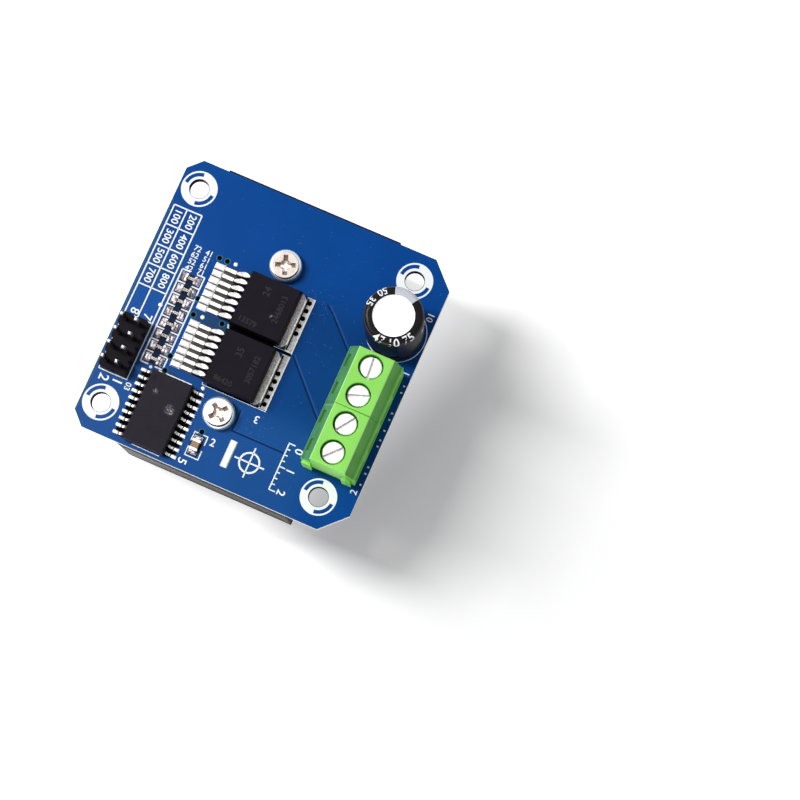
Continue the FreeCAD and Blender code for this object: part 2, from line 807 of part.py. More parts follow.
def header_base():
    """Row of square cells with notched corners, one cell for each pin."""
    half_x = header_rows * header_pitch / 2
    cells = []
    n = header_notch
    h = header_pitch / 2
    cell = [(-h, -h + n), (-h + n, -h), (h - n, -h), (h, -h + n),
            (h, h - n), (h - n, h), (-h + n, h), (-h, h - n)]
    for x, y in header_pins:
        cells.append(prism([(x + cx, y + cy, board_top) for cx, cy in cell],
                           Vector(0, 0, header_base_height)))
    half_y = header_columns * header_pitch / 2
    core = block(
        header_centre_x - half_x + n, header_centre_x + half_x - n,
        header_centre_y - half_y + n, header_centre_y + half_y - n,
        board_top, board_top + header_base_height,
    )
    base = core.multiFuse(cells).removeSplitter()
    return base.cut(Part.makeCompound([header_pin(x, y) for x, y in header_pins]))


def header_pin(x, y):
    """Square pin with blunt pyramids at both ends."""
    half = header_pin_size / 2
    t = header_pin_tip
    low = -header_pin_tail
    high = board_top + header_base_height + header_pin_above
    sections = [
        rectangle(x - half + inset, x + half - inset, y - half + inset, y + half - inset, z)
        for z, inset in ((low, t), (low + 2 * t, 0), (high - 2 * t, 0), (high, t))
    ]
    return Part.makeLoft(sections, True, True)


def solder_joint(x, y, radius, height, neck_radius, pin):
    """Cone of solder with a hollow flank, from the board's underside down the pin."""
    neck = neck_radius + joint_neck
    waist = neck + (radius - neck) * joint_waist_radius_share
    waist_z = -height * joint_waist_height_share
    outline = [(0, 0), (radius, 0), (waist, waist_z), (neck, -height), (0, -height)]
    return turned(x, y, outline).cut(pin)


def terminal_solder():
    reach = max(terminal_pin_width, terminal_pin_thickness) / 2
    return [
        solder_joint(terminal_x, y, terminal_joint_radius, terminal_joint_height, reach, terminal_pin(y))
        for y in pole_ys
    ]


def header_solder():
    reach = header_pin_size / 2
    return [
        solder_joint(x, y, header_joint_radius, header_joint_height, reach, header_pin(x, y))
        for x, y in header_pins
    ]


def capacitor_solder():
    return [
        solder_joint(capacitor_x, y, capacitor_joint_radius, capacitor_joint_height,
                     capacitor_lead_radius, capacitor_lead(y))
        for y in capacitor_lead_ys
    ]


def all_nodes():
    nodes = {
        "circuit_board": circuit_board(),
        "heatsink": heatsink(),
        "thermal_pad": thermal_pad(),
        "heatsink_screws": heatsink_screws(),
        "capacitor_can": capacitor_can(),
        "capacitor_sleeve": capacitor_sleeve(),
        "capacitor_seal": capacitor_seal(),
    }
    for i, y in enumerate(capacitor_lead_ys):
        nodes[f"capacitor_lead_{i + 1}"] = capacitor_lead(y)
    for i, side in enumerate((1, -1)):
        body, tab, leads = driver(side * driver_offset_y)
        nodes[f"driver_{i + 1}_body"] = body
        nodes[f"driver_{i + 1}_tab"] = tab
        nodes[f"driver_{i + 1}_leads"] = leads
    nodes["logic_chip_body"], nodes["logic_chip_leads"] = logic_chip()
    for i in range(resistor_count):
        nodes[f"resistor_{i + 1}"], nodes[f"resistor_{i + 1}_ends"] = resistor(i)
    nodes["ceramic_capacitor"], nodes["ceramic_capacitor_ends"] = ceramic_capacitor()
    for i in range(block_count):
        nodes[f"terminal_housing_{i + 1}"] = terminal_housing(i)
    for i, y in enumerate(pole_ys):
        angle = terminal_slot_angles_deg[i % len(terminal_slot_angles_deg)]
        nodes[f"clamp_box_{i + 1}"] = clamp_box(y)
        nodes[f"pressure_plate_{i + 1}"] = pressure_plate(y)
        nodes[f"terminal_screw_{i + 1}"] = terminal_screw(y, angle)
    nodes["header_base"] = header_base()
    for i, (x, y) in enumerate(header_pins):
        nodes[f"header_pin_{i + 1}"] = header_pin(x, y)
    nodes["terminal_solder"] = terminal_solder()
    nodes["underside_solder"] = header_solder() + capacitor_solder()
    return nodes


os.makedirs("parts", exist_ok=True)
for name, shape in all_nodes().items():
    if isinstance(shape, list):
        shape = Part.makeCompound(shape)
    shape.exportStep(f"parts/{name}.step")
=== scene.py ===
import json
import math
from functools import reduce

import bmesh
import bpy
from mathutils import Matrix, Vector


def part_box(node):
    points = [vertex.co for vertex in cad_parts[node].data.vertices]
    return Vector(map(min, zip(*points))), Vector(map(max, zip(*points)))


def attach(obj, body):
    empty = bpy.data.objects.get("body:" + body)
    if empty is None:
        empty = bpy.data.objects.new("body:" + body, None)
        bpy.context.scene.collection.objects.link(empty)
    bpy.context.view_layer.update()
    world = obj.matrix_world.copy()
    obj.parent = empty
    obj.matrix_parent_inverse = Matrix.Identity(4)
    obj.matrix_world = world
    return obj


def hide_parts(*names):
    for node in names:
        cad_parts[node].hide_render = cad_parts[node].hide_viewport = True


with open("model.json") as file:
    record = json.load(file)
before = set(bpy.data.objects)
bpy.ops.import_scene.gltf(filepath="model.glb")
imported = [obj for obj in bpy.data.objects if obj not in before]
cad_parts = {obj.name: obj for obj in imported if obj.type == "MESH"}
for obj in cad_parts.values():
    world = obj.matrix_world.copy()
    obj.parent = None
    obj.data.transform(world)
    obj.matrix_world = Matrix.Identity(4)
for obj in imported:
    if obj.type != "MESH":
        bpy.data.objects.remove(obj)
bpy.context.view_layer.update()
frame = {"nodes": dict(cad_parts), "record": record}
NODES = frame["nodes"]

# Lengths below are in millimetres; MM turns them into metres
MM = 0.001
ROOT = "module"


def box_mm(node):
    low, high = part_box(node)
    return low / MM, high / MM


def middle_mm(node):
    return [(a + b) / 2 for a, b in zip(*box_mm(node))]


# Measures of the CAD model
TOP = box_mm("circuit_board")[1].z
HOLES = [(x, y) for x in (-20.0, 20.0) for y in (-20.0, 20.0)]
CAN_X, CAN_Y, _ = middle_mm("capacitor_can")
CAN_TOP = box_mm("capacitor_can")[1].z
SINK_X, SINK_Y, _ = middle_mm("heatsink")
SINK_LOW, SINK_HIGH = box_mm("heatsink")
SCREW_LOW, SCREW_HIGH = box_mm("terminal_screw_1")
SCREW_X, SCREW_Y, _ = middle_mm("terminal_screw_1")
POLE_PITCH = SCREW_LOW.y - box_mm("terminal_screw_2")[0].y
POLE_YS = [SCREW_Y - i * POLE_PITCH for i in range(4)]
PAN_X = middle_mm("heatsink_screws")[0]
PAN_LOW, PAN_HIGH = box_mm("heatsink_screws")
PAN_RADIUS = (PAN_HIGH.x - PAN_LOW.x) / 2
PAN_YS = (PAN_HIGH.y - PAN_RADIUS, PAN_LOW.y + PAN_RADIUS)
HOUSING_LOW, HOUSING_HIGH = box_mm("terminal_housing_1")
BACK_EDGE_X = HOUSING_LOW.x + 1.90
FRONT_EDGE_X = HOUSING_HIGH.x - 1.45
SLOT_FLOOR_Z = TOP + 7.9
PIN_TIP_Z = box_mm("header_pin_1")[1].z
TAB_EDGE = box_mm("driver_1_tab")[1].x
DRIVER_EDGE_X = box_mm("driver_1_body")[0].x
HEEL_X = DRIVER_EDGE_X - 2.66
LOGIC_X = middle_mm("logic_chip_leads")[0]
LOGIC_LOW, LOGIC_HIGH = box_mm("logic_chip_leads")
DRIVER_LEAD_YS = {}
for chip in (1, 2):
    low, high = box_mm(f"driver_{chip}_leads")
    lead_pitch = (high.y - low.y - 0.98) / 6
    DRIVER_LEAD_YS[chip] = [low.y + 0.49 + lead_pitch * i for i in range(7)]
# Pale stripe of the capacitor's sleeve, as angles about its axis from +X
STRIPE_FROM_DEG = 57.0
STRIPE_TO_DEG = 110.0

# Camera, where the photograph was taken from
CAMERA_PLACE = (53.463, -51.842, 382.007)
CAMERA_TURN_DEG = (8.805, 0.6414, 23.6966)
CAMERA_LENS = 103.423
SENSOR_WIDTH = 36.0


def connect(tree, slot, value):
    if isinstance(value, Level):
        tree.links.new(value.socket, slot)
    elif slot.type == "RGBA" and len(value) == 3:
        slot.default_value = (*value, 1.0)
    else:
        slot.default_value = value


def add_node(tree, kind, settings, values, output=0):
    """Adds one node: its settings first, then the values or links of its sockets."""
    node = tree.nodes.new(kind)
    for key, value in settings.items():
        setattr(node, key, value)
    for key, value in values.items():
        connect(tree, node.inputs[key], value)
    return Level(tree, node.outputs[output])


def maths(operation, swapped=False):
    """A method that adds one Math node. Swapped puts the level last, for an operator's reflected form."""
    def method(self, *others):
        values = (*others, self) if swapped else (self, *others)
        return add_node(self.tree, "ShaderNodeMath", {"operation": operation}, dict(enumerate(values)))
    return method


class Level:
    """A value on its way through a material: sums and products of it add Math nodes."""

    def __init__(self, tree, socket):
        self.tree = tree
        self.socket = socket

    __add__, __radd__ = maths("ADD"), maths("ADD", True)
    __sub__, __rsub__ = maths("SUBTRACT"), maths("SUBTRACT", True)
    __mul__, __rmul__ = maths("MULTIPLY"), maths("MULTIPLY", True)
    __truediv__, __mod__ = maths("DIVIDE"), maths("FLOORED_MODULO")
    __gt__, __lt__, __abs__ = maths("GREATER_THAN"), maths("LESS_THAN"), maths("ABSOLUTE")
    least, most, sine, root = maths("MINIMUM"), maths("MAXIMUM"), maths("SINE"), maths("SQRT")
    # The angle in radians of the point whose height is this value, at the reach given
    bearing = maths("ARCTAN2")

    def held(self):
        """The value kept between 0 and 1."""
        return self.least(1.0).most(0.0)

    def rise(self, low, high):
        """A smooth step from 0 to 1 as the value goes from low to high."""
        return add_node(self.tree, "ShaderNodeMapRange", {"interpolation_type": "SMOOTHSTEP"},
                        {"Value": self, "From Min": low, "From Max": high})

    def fall(self, low, high):
        return 1 - self.rise(low, high)

    def within(self, low, high, soft):
        """1 between two limits, with soft shoulders inside them."""
        return self.rise(low, low + soft) * self.fall(high - soft, high)

    def blend(self, first, second):
        """The first colour where the value is 0, and the second where it is 1."""
        return add_node(self.tree, "ShaderNodeMix", {"data_type": "RGBA"}, {0: self, 6: first, 7: second}, 2)


def length(dx, dy):
    return (dx * dx + dy * dy).root()


def ridge(offset, width):
    """1 at an offset of nought, falling evenly to 0 at the width on both sides."""
    return (1 - abs(offset) / width).held()


class Finish:
    """A material under way, with the place of each point in millimetres as x, y and z."""

    def __init__(self, name, **constants):
        self.material = bpy.data.materials.new(name)
        self.material.use_nodes = True
        self.tree = self.material.node_tree
        self.shader = self.tree.nodes["Principled BSDF"]
        self.lit = Level(self.tree, self.shader.outputs[0])
        for label, value in constants.items():
            self.wire(label.replace("_", " "), value)
        metres = self.node("ShaderNodeTexCoord", {}, {}, "Object")
        self.place = self.node("ShaderNodeVectorMath", {"operation": "SCALE"}, {0: metres, "Scale": 1 / MM})
        self.x, self.y, self.z = [self.node("ShaderNodeSeparateXYZ", {}, {0: self.place}, axis)
                                  for axis in "XYZ"]
        self.relief = None

    def node(self, *wanted):
        return add_node(self.tree, *wanted)

    def wire(self, label, value):
        connect(self.tree, self.shader.inputs[label], value)

    def colour(self, value):
        self.wire("Base Color", value)

    def roughness(self, value):
        self.wire("Roughness", value)

    def noise(self, scale, detail, stretch=None, rough=0.5, warp=0.0):
        place = self.place
        if stretch:
            place = self.node("ShaderNodeVectorMath", {"operation": "MULTIPLY"}, {0: place, 1: stretch})
        return self.node("ShaderNodeTexNoise", {}, {
            "Vector": place, "Scale": scale, "Detail": detail, "Roughness": rough, "Distortion": warp})

    def cells(self, scale):
        return self.node("ShaderNodeTexVoronoi", {}, {"Vector": self.place, "Scale": scale}, "Distance")

    def tint(self, colour, value):
        """A colour made lighter or darker by a value, where 1 leaves it as it is."""
        return self.node("ShaderNodeVectorMath", {"operation": "SCALE"}, {0: colour, "Scale": value})

    def distance_to_line(self, start, end):
        dx, dy = end[0] - start[0], end[1] - start[1]
        px, py = self.x - start[0], self.y - start[1]
        along = ((px * dx + py * dy) / (dx * dx + dy * dy)).held()
        return length(px - along * dx, py - along * dy)

    def distance_to_routes(self, routes):
        return reduce(Level.least, [self.distance_to_line(start, end)
                                    for route in routes for start, end in zip(route, route[1:])])

    def radius_from(self, x, y):
        return length(self.x - x, self.y - y)

    def bump(self, height, depth_mm, strength):
        values = {"Height": height, "Distance": depth_mm * MM, "Strength": strength}
        if self.relief is not None:
            values["Normal"] = self.relief
        self.relief = self.node("ShaderNodeBump", {}, values)
        self.wire("Normal", self.relief)

    def shown_as(self, share, first, second):
        """Shows a mix of two shaders in place of the first alone."""
        mixed = self.node("ShaderNodeMixShader", {}, {0: share, 1: first, 2: second})
        connect(self.tree, self.tree.nodes["Material Output"].inputs["Surface"], mixed)

    def paint_shade_where(self, share, colour):
        """Paints shade as a dull dark coat over the parts where the share is 1."""
        self.shown_as(share, self.lit, self.node("ShaderNodeBsdfPrincipled", {}, {
            "Base Color": colour, "Roughness": 0.9, "Specular IOR Level": 0.0}))


FINISH = {}


def finish_for(slot, **constants):
    """Runs the function below it on a new material, and enters that under the slot's name."""
    def enter(maker):
        finish = Finish(maker.__name__, **constants)
        maker(finish)
        FINISH[slot] = finish.material
    return enter


# Colours in linear light
MASK_BLUE = (0.0008, 0.0585, 0.278)
MASK_GAP = (0.0003, 0.012, 0.080)
LAMINATE = (0.93, 0.92, 0.86)
TIN = (0.96, 0.95, 0.93)
SOLDER = (0.93, 0.93, 0.91)
EPOXY = (0.0094, 0.0079, 0.0126)
EPOXY_PALE = (0.0205, 0.0178, 0.0250)
LEAF_GREEN = (0.285, 0.750, 0.125)

# Edges of the copper areas, which show as dark lines through the solder mask
TOP_POUR_EDGES = [
    [(6.4, 0.1), (14.7, -8.4)],
    [(8.3, 10.3), (9.6, 9.3), (14.6, 4.4)],
    [(2.2, -12.0), (2.2, -15.6), (11.7, -15.6)],
]
UNDER_POUR_EDGES = [
    [(16.2, 0.6), (24.8, 0.6)],
    [(16.2, -10.8), (24.8, -10.8)],
    [(16.2, 17.4), (22.0, 17.4), (24.8, 14.6)],
    [(-23.0, 14.0), (-17.6, 14.0)],
    [(16.4, -21.9), (19.0, -24.2)],
]
# Zones painted over the mask in turn: softness of the rim, share, colour, and each zone's x from, x to,
# y from, y to. They are a painted veil of glare, painted shade beyond the power chips, a bare strip at the
# board's left edge, dim strips round the vias, the copper areas by the header and the dark ground under the
# resistors, which is partly traces and partly painted shade.
MASK_ZONES = [
    # Painted veil of glare
    (9.0, 0.85, (0.0090, 0.076, 0.280), [(-33.0, 22.0, -34.0, -5.0), (-33.0, -10.0, -34.0, 14.0)]),
    # Painted shade beyond the power chips
    (7.0, 0.80, (0.0006, 0.043, 0.190), [(1.0, 24.0, -13.5, 14.0)]),
    (0.25, 0.85, (0.0260, 0.100, 0.200), [(-26.0, -22.95, -26.0, 17.0)]),
    (0.25, 0.85, (0.0150, 0.056, 0.130), [(-12.8, -4.6, -0.9, 0.9), (-13.4, -9.6, -11.4, -10.4)]),
    (0.25, 0.7, (0.0035, 0.082, 0.350), [(-22.6, -20.5, -4.2, 1.0), (-20.2, -17.8, -4.2, 1.0)]),
    # Dark ground under the resistors: partly traces, partly painted shade
    (0.25, 0.9, (0.0014, 0.0095, 0.036), [(-16.6, -13.0, -10.7, 6.1)]),
]
# Dust as x, y, reach and, on the chips, share
CHIP_DUST = [(-8.05, -17.2, 0.50, 1.0), (-8.5, -16.8, 1.15, 0.45), (-11.9, -14.9, 0.7, 0.35),
             (0.9, 4.1, 0.5, 0.4)]
DUST_SPOTS = [(7.0, 9.6, 4.5), (11.0, 2.0, 3.5), (6.0, -13.5, 3.5), (-1.5, -12.2, 3.0)]


@finish_for("board_blue", Specular_IOR_Level=0.05)
def solder_mask(finish):
    """Blue mask over both faces, with pour edges pressed through it and a painted highlight beside each on
    the top, and pale laminate at the edges, with painted shade inside the fixing holes.
    """
    upper = finish.z > TOP / 2
    over, under = [finish.distance_to_routes(edges).fall(0.09, 0.22)
                   for edges in (TOP_POUR_EDGES, UNDER_POUR_EDGES)]
    groove = over * upper + under * (1 - upper)
    wobble = finish.noise(1.2, 2.0) * 0.2
    across, along = finish.x + wobble, finish.y + wobble
    paint = MASK_BLUE
    for soft, share, colour, rows in MASK_ZONES:
        inside = [across.within(*row[:2], soft) * along.within(*row[2:], soft) for row in rows]
        paint = (reduce(Level.most, inside) * upper * share).blend(paint, colour)
    paint = (groove * 0.9).blend(paint, MASK_GAP)
    cloud = finish.noise(0.16, 3.0)
    weave = finish.noise(1.0, 2.0, (0.35, 2.6, 1.0)) + finish.noise(1.0, 2.0, (2.6, 0.35, 1.0))
    paint = finish.tint(paint, 0.84 + cloud * 0.24 + weave * 0.04)
    # Painted highlight: a pale line beside each pour edge on the top face
    gleam = finish.distance_to_routes([[(x + 0.30, y + 0.14) for x, y in route] for route in TOP_POUR_EDGES])
    paint = (gleam.fall(0.05, 0.16) * upper * (1 - groove) * 0.32).blend(paint, (0.045, 0.160, 0.380))
    near = reduce(Level.most, [finish.radius_from(x, y).fall(reach * 0.2, reach)
                               for x, y, reach in DUST_SPOTS])
    speck = finish.cells(2.3).fall(0.07, 0.15) * (finish.noise(1.1, 2.0) + near * 0.34 > 0.62) * upper
    paint = (speck * 0.60).blend(paint, (0.20, 0.36, 0.60))
    cut = (finish.z > 0.06) * (finish.z < TOP - 0.06)
    fibre = finish.noise(2.2, 3.0, stretch=(1.0, 1.0, 9.0))
    laminate = finish.tint(LAMINATE, 0.7 + fibre * 0.6)
    # Painted shade: the laminate inside each fixing hole is darkened
    bore = reduce(Level.least, [finish.radius_from(x, y) for x, y in HOLES])
    laminate = (bore < 1.9).blend(laminate, (0.030, 0.024, 0.022))
    finish.colour(cut.blend(paint, laminate))
    finish.roughness((0.24 + finish.noise(0.8, 4.0) * 0.14 + speck * 0.3).most(cut * 0.75))
    finish.bump(weave, 0.010, 0.35)
    finish.bump(finish.noise(5.0, 2.0), 0.004, 0.5)
    finish.bump(1 - groove, 0.03, 0.8)


# Finishes of one colour with an even grain. By slot: the material's name, base colour, specular level,
# metallic share, the grain's scale and detail, then shade and roughness, each as a start and the grain's
# part, and last the depth and strength of the grain's relief.
GRAINED = {
    "olive_rim": ("olive_rim", (0.016, 0.110, 0.150), 0.3, 0.3, (6.0, 3.0), (0.6, 0.8), (0.4, 0.2),
                  (0.01, 0.5)),
    "ink": ("white_ink", (0.92, 0.95, 0.96), 0.3, 0.0, (9.0, 3.0), (0.93, 0.12), (0.5, 0.2), (0.01, 0.5)),
    "seal_rubber": ("seal_rubber", (0.02, 0.02, 0.02), 0.25, 0.0, (6.0, 3.0), (0.8, 0.4), (0.7, 0.2),
                    (0.02, 0.6)),
    "laser": ("laser_mark", (0.036, 0.032, 0.035), 0.1, 0.0, (14.0, 2.0), (0.3, 1.3), (0.65, 0.2),
              (0.01, 0.6)),
    "resistor_black": ("glazed_chip", (0.008, 0.0075, 0.009), 0.06, 0.0, (7.0, 3.0), (0.7, 0.6),
                       (0.28, 0.16), (0.006, 0.5)),
    "ceramic_brown": ("fired_ceramic", (0.30, 0.175, 0.095), 0.4, 0.0, (9.0, 4.0), (0.8, 0.4),
                      (0.36, 0.2), (0.008, 0.5)),
    # Black for painted shade: sheets, discs and rings put where shade falls
    "dark": ("drilled_dark", (0.0030, 0.0028, 0.0036), 0.0, 0.0, (8.0, 2.0), (0.6, 0.8), (0.7, 0.2), None),
}
for slot, (name, base, specular, metallic, texture, shade, matt, relief) in GRAINED.items():
    plain = Finish(name, Specular_IOR_Level=specular, Metallic=metallic)
    grain = plain.noise(*texture)
    plain.colour(plain.tint(base, shade[0] + grain * shade[1]))
    plain.roughness(matt[0] + grain * matt[1])
    if relief:
        plain.bump(grain, *relief)
    FINISH[slot] = plain.material


@finish_for("tinned_metal", Metallic=0.65)
def tinned_metal(finish):
    """Matt tin over metal, a little diffuse and unevenly bright."""
    patch = finish.noise(1.3, 3.0)
    grain = finish.noise(8.0, 3.0)
    stain = finish.noise(1.9, 4.0, warp=0.4).rise(0.56, 0.68)
    finish.colour(finish.tint(TIN, 0.84 + patch * 0.18 + grain * 0.06 - stain * 0.22))
    finish.roughness(0.23 + patch * 0.08 + grain * 0.12)
    finish.bump(grain, 0.010, 0.6)
    finish.bump(patch, 0.03, 0.4)


@finish_for("solder", Metallic=0.65)
def bright_solder(finish):
    patch = finish.noise(1.1, 4.0, warp=0.6)
    frost = finish.cells(7.0)
    pool = finish.noise(2.2, 4.0, warp=0.8).rise(0.52, 0.66)
    finish.colour(finish.tint(SOLDER, 0.84 + patch * 0.26 - pool * 0.38))
    finish.roughness(0.24 + patch * 0.22 + frost * 0.06)
    finish.bump(patch, 0.06, 0.7)
    finish.bump(frost, 0.012, 0.4)


@finish_for("driver_leads", Metallic=0.30)
def driver_lead_tin(finish):
    """Tin on the power chips' leads, with painted shade on the metal at the heels and beside the rounded
    shoulders.
    """
    upper = finish.y > 0
    first = upper * DRIVER_LEAD_YS[1][0] + (1 - upper) * DRIVER_LEAD_YS[2][0]
    pitch = DRIVER_LEAD_YS[1][1] - DRIVER_LEAD_YS[1][0]
    across = abs((finish.y - first + pitch / 2) % pitch - pitch / 2)
    along = (finish.x - DRIVER_EDGE_X + 1.28) / 1.32
    half = (1 - along * along).held().root() * 0.42
    lens = (half - across).rise(-0.02, 0.05)
    foot = finish.x.fall(HEEL_X - 0.06, HEEL_X) * across.fall(0.26, 0.31)
    bright = lens.most(foot)
    streak = finish.noise(1.0, 3.0, stretch=(0.5, 7.0, 2.0))
    # Painted shade: the leads outside the bright lens and foot are dark, streaked grey toward the toe
    shade = finish.x.fall(HEEL_X - 0.1, HEEL_X + 0.3) * streak * streak
    shaded_metal = shade.blend((0.009, 0.008, 0.010), (0.26, 0.25, 0.24))
    patch = finish.noise(1.3, 3.0)
    grain = finish.noise(8.0, 3.0)
    tin = finish.tint(TIN, 0.86 + patch * 0.20 + grain * 0.06)
    finish.colour(bright.blend(shaded_metal, tin))
    finish.roughness(0.28 + patch * 0.08 + grain * 0.12)
    finish.bump(grain, 0.010, 0.6)
    finish.bump(patch, 0.03, 0.4)


@finish_for("logic_leads", Metallic=0.30)
def logic_lead_tin(finish):
    """Tin on the logic chip's leads, with painted shade at the toes and where the leads enter the body."""
    inward = (LOGIC_HIGH.x - LOGIC_LOW.x) / 2 - abs(finish.x - LOGIC_X)
    bright = inward.rise(0.46, 0.52) * inward.fall(1.06, 1.14)
    patch = finish.noise(1.7, 3.0)
    grain = finish.noise(8.0, 3.0)
    # Painted shade on the leads outside their bright middle band
    finish.colour(bright.blend((0.010, 0.009, 0.011), finish.tint(TIN, 0.80 + patch * 0.30)))
    finish.roughness(0.30 + patch * 0.08 + grain * 0.12)
    finish.bump(grain, 0.010, 0.6)


@finish_for("dull_land", Metallic=0.35)
def dull_land(finish):
    """Grey tinned land with a stained, grainy face."""
    grain = finish.noise(3.2, 4.0, rough=0.7)
    patch = finish.noise(0.9, 3.0, warp=0.5)
    edge = abs(finish.x - 5.99).rise(0.05, 0.12)
    paint = finish.tint((0.56, 0.52, 0.54), 0.60 + grain.rise(0.38, 0.64) * 0.55 + patch * 0.20)
    finish.colour(edge.blend((0.88, 0.90, 0.94), paint))
    finish.roughness(0.36 + grain * 0.2)
    finish.bump(grain, 0.02, 0.6)


@finish_for("tab_silver", Metallic=0.85)
def tab_silver(finish):
    """Rolled copper tab with dull plating, streaked along Y, and a painted highlight along its outer edge.
    """
    streak = finish.noise(1.0, 4.0, stretch=(5.0, 0.35, 1.0))
    grain = finish.noise(3.6, 4.0, rough=0.75)
    plating = finish.tint((0.50, 0.48, 0.465), 0.40 + streak * 0.30 + grain.rise(0.36, 0.64) * 0.85)
    # Painted highlight along the tab's outer edge
    rim = finish.x.rise(TAB_EDGE - 0.24, TAB_EDGE - 0.12) * (0.4 + streak * 0.6)
    finish.colour(rim.blend(plating, (0.93, 0.93, 0.92)))
    finish.roughness(0.34 + streak * 0.18)
    finish.bump(streak, 0.02, 0.6)
    finish.bump(grain, 0.01, 0.5)


@finish_for("patchy_solder", Metallic=0.60)
def patchy_solder(finish):
    """Solder on the small chips' ends, bright in part, with patches of painted dark reflection."""
    patch = finish.noise(1.25, 3.0, warp=0.9)
    bright = patch.rise(0.40, 0.58)
    grain = finish.noise(7.0, 3.0)
    # Painted dark reflections in patches over the bright solder
    shade = bright.blend((0.10, 0.088, 0.092), (0.60, 0.54, 0.56))
    finish.colour(finish.tint(shade, 0.80 + grain * 0.35))
    finish.roughness(0.36 + grain * 0.2)
    finish.bump(patch, 0.05, 0.6)
    finish.bump(grain, 0.01, 0.5)


@finish_for("chip_black", Specular_IOR_Level=0.05)
def moulded_epoxy(finish):
    grain = finish.noise(11.0, 3.0)
    cloud = finish.noise(0.5, 3.0)
    fleck = finish.cells(2.6).fall(0.04, 0.08)
    fleck = fleck * (finish.noise(0.7, 1.0) > 0.6)
    paint = (finish.x < -6.2).blend(EPOXY, EPOXY_PALE)
    paint = finish.tint(paint, 0.62 + cloud * 0.50 + grain * 0.35)
    paint = (fleck * 0.35).blend(paint, (0.20, 0.19, 0.19))
    crumbs = finish.noise(3.4, 4.0, rough=0.85).rise(0.47, 0.60)
    for x, y, reach, share in CHIP_DUST:
        near = finish.radius_from(x, y).fall(reach * 0.25, reach)
        paint = (near * crumbs * share).blend(paint, (0.62, 0.60, 0.62))
    finish.colour(paint)
    finish.roughness(0.46 + grain * 0.16 + cloud * 0.06)
    finish.bump(grain, 0.016, 0.7)
    finish.bump(cloud, 0.05, 0.25)


@finish_for("anodised_black", Metallic=0.35, Specular_IOR_Level=0.45)
def anodised_extrusion(finish):
    """Black aluminium with drawing lines along X, and saw marks on its two cut ends. Its two outer side
    faces are painted a lighter grey as a painted reflection of the floor, with painted shade in dull dark
    bands across them.
    """
    lines = finish.noise(1.0, 4.0, stretch=(0.04, 5.5, 5.5))
    fine = finish.noise(1.0, 3.0, stretch=(0.15, 16.0, 16.0))
    long, wide = (SINK_HIGH.x - SINK_LOW.x) / 2, (SINK_HIGH.y - SINK_LOW.y) / 2
    cut = abs(finish.x - SINK_X) > (long - 0.02)
    saw = finish.noise(1.0, 3.0, stretch=(1.0, 0.6, 9.0))
    smudge = finish.noise(0.12, 4.0, warp=0.8)
    tip = (SINK_LOW.z + 0.35 - finish.z).rise(0.0, 0.3)
    scuff = tip * finish.noise(1.4, 4.0, stretch=(0.4, 2.0, 2.0)).rise(0.52, 0.66)
    paint = finish.tint((0.0105, 0.0100, 0.0105), 0.65 + lines * 0.5 + smudge * 0.3)
    # Painted reflection: the two outer side faces are a lighter grey
    flank = abs(finish.y - SINK_Y).rise(wide - 1.2, wide - 0.8)
    depth = (SINK_HIGH.z - finish.z) / (SINK_HIGH.z - SINK_LOW.z)
    paint = flank.blend(paint, finish.tint((0.040, 0.039, 0.042), 0.65 + lines * 0.6))
    paint = (cut * 0.35).blend(paint, finish.tint((0.055, 0.055, 0.057), 0.4 + saw))
    finish.colour((scuff * 0.35).blend(paint, (0.30, 0.30, 0.31)))
    finish.roughness(0.27 + lines * 0.16 + smudge * 0.12 + cut * 0.12)
    finish.bump(lines, 0.022, 0.6)
    finish.bump(fine, 0.008, 0.6)
    finish.bump(saw * cut, 0.03, 0.6)
    # Painted shade: dull dark bands on the outer faces, under the board, across the middle and at the foot
    waver = depth + smudge * 0.05
    band = waver.fall(0.12, 0.30).most(
        waver.rise(0.38, 0.49) - waver.rise(0.49, 0.62))
    finish.paint_shade_where(flank * band.most(waver.rise(0.90, 1.0)) * 0.8, (0.012, 0.0115, 0.012))


@finish_for("pad_grey", Specular_IOR_Level=0.25)
def silicone_pad(finish):
    mesh = (finish.x * 6.0).sine() * (finish.y * 6.0).sine()
    grain = finish.noise(6.0, 3.0)
    finish.colour(finish.tint((0.33, 0.34, 0.36), 0.85 + mesh * 0.08 + grain * 0.2))
    finish.roughness(0.75 + grain * 0.15)
    finish.bump(mesh, 0.02, 0.5)


def turned(finish, base, roughness, centre_x, first_y, pitch_y, ring_pitch):
    """Plated metal with faint turning rings about each screw's own axis in a row along Y.

    Gives the way from the axis as x, y and radius, and the paint so far."""
    dx = finish.x - centre_x
    dy = (finish.y - first_y + pitch_y / 2) % pitch_y - pitch_y / 2
    radius = length(dx, dy)
    rings = (radius * (2 * math.pi / ring_pitch) + finish.noise(0.8, 2.0) * 3.0).sine()
    patch = finish.noise(1.6, 4.0)
    nick = finish.noise(3.4, 5.0, stretch=(1.0, 0.25, 1.0)).rise(0.60, 0.72)
    finish.roughness(roughness + patch * 0.10 + nick * 0.15 + rings * 0.02)
    finish.bump(rings, 0.004, 0.25)
    finish.bump(nick, 0.02, 0.5)
    return dx, dy, radius, finish.tint(base, 0.95 + patch * 0.10 - nick * 0.14)


@finish_for("terminal_zinc", Metallic=0.70)
def terminal_zinc(finish):
    *_, paint = turned(finish, (0.97, 0.97, 0.98), 0.32, SCREW_X, SCREW_Y, POLE_PITCH, 0.36)
    stain = finish.noise(2.6, 4.0, rough=0.7).rise(0.50, 0.70)
    paint = finish.tint(paint, 0.96 - stain * 0.30)
    slot = (finish.z < SCREW_HIGH.z - 0.15) * (finish.z > SCREW_HIGH.z - 1.2)
    finish.colour(slot.blend(paint, finish.tint((0.92, 0.88, 0.91), 0.75 + stain * 0.5)))


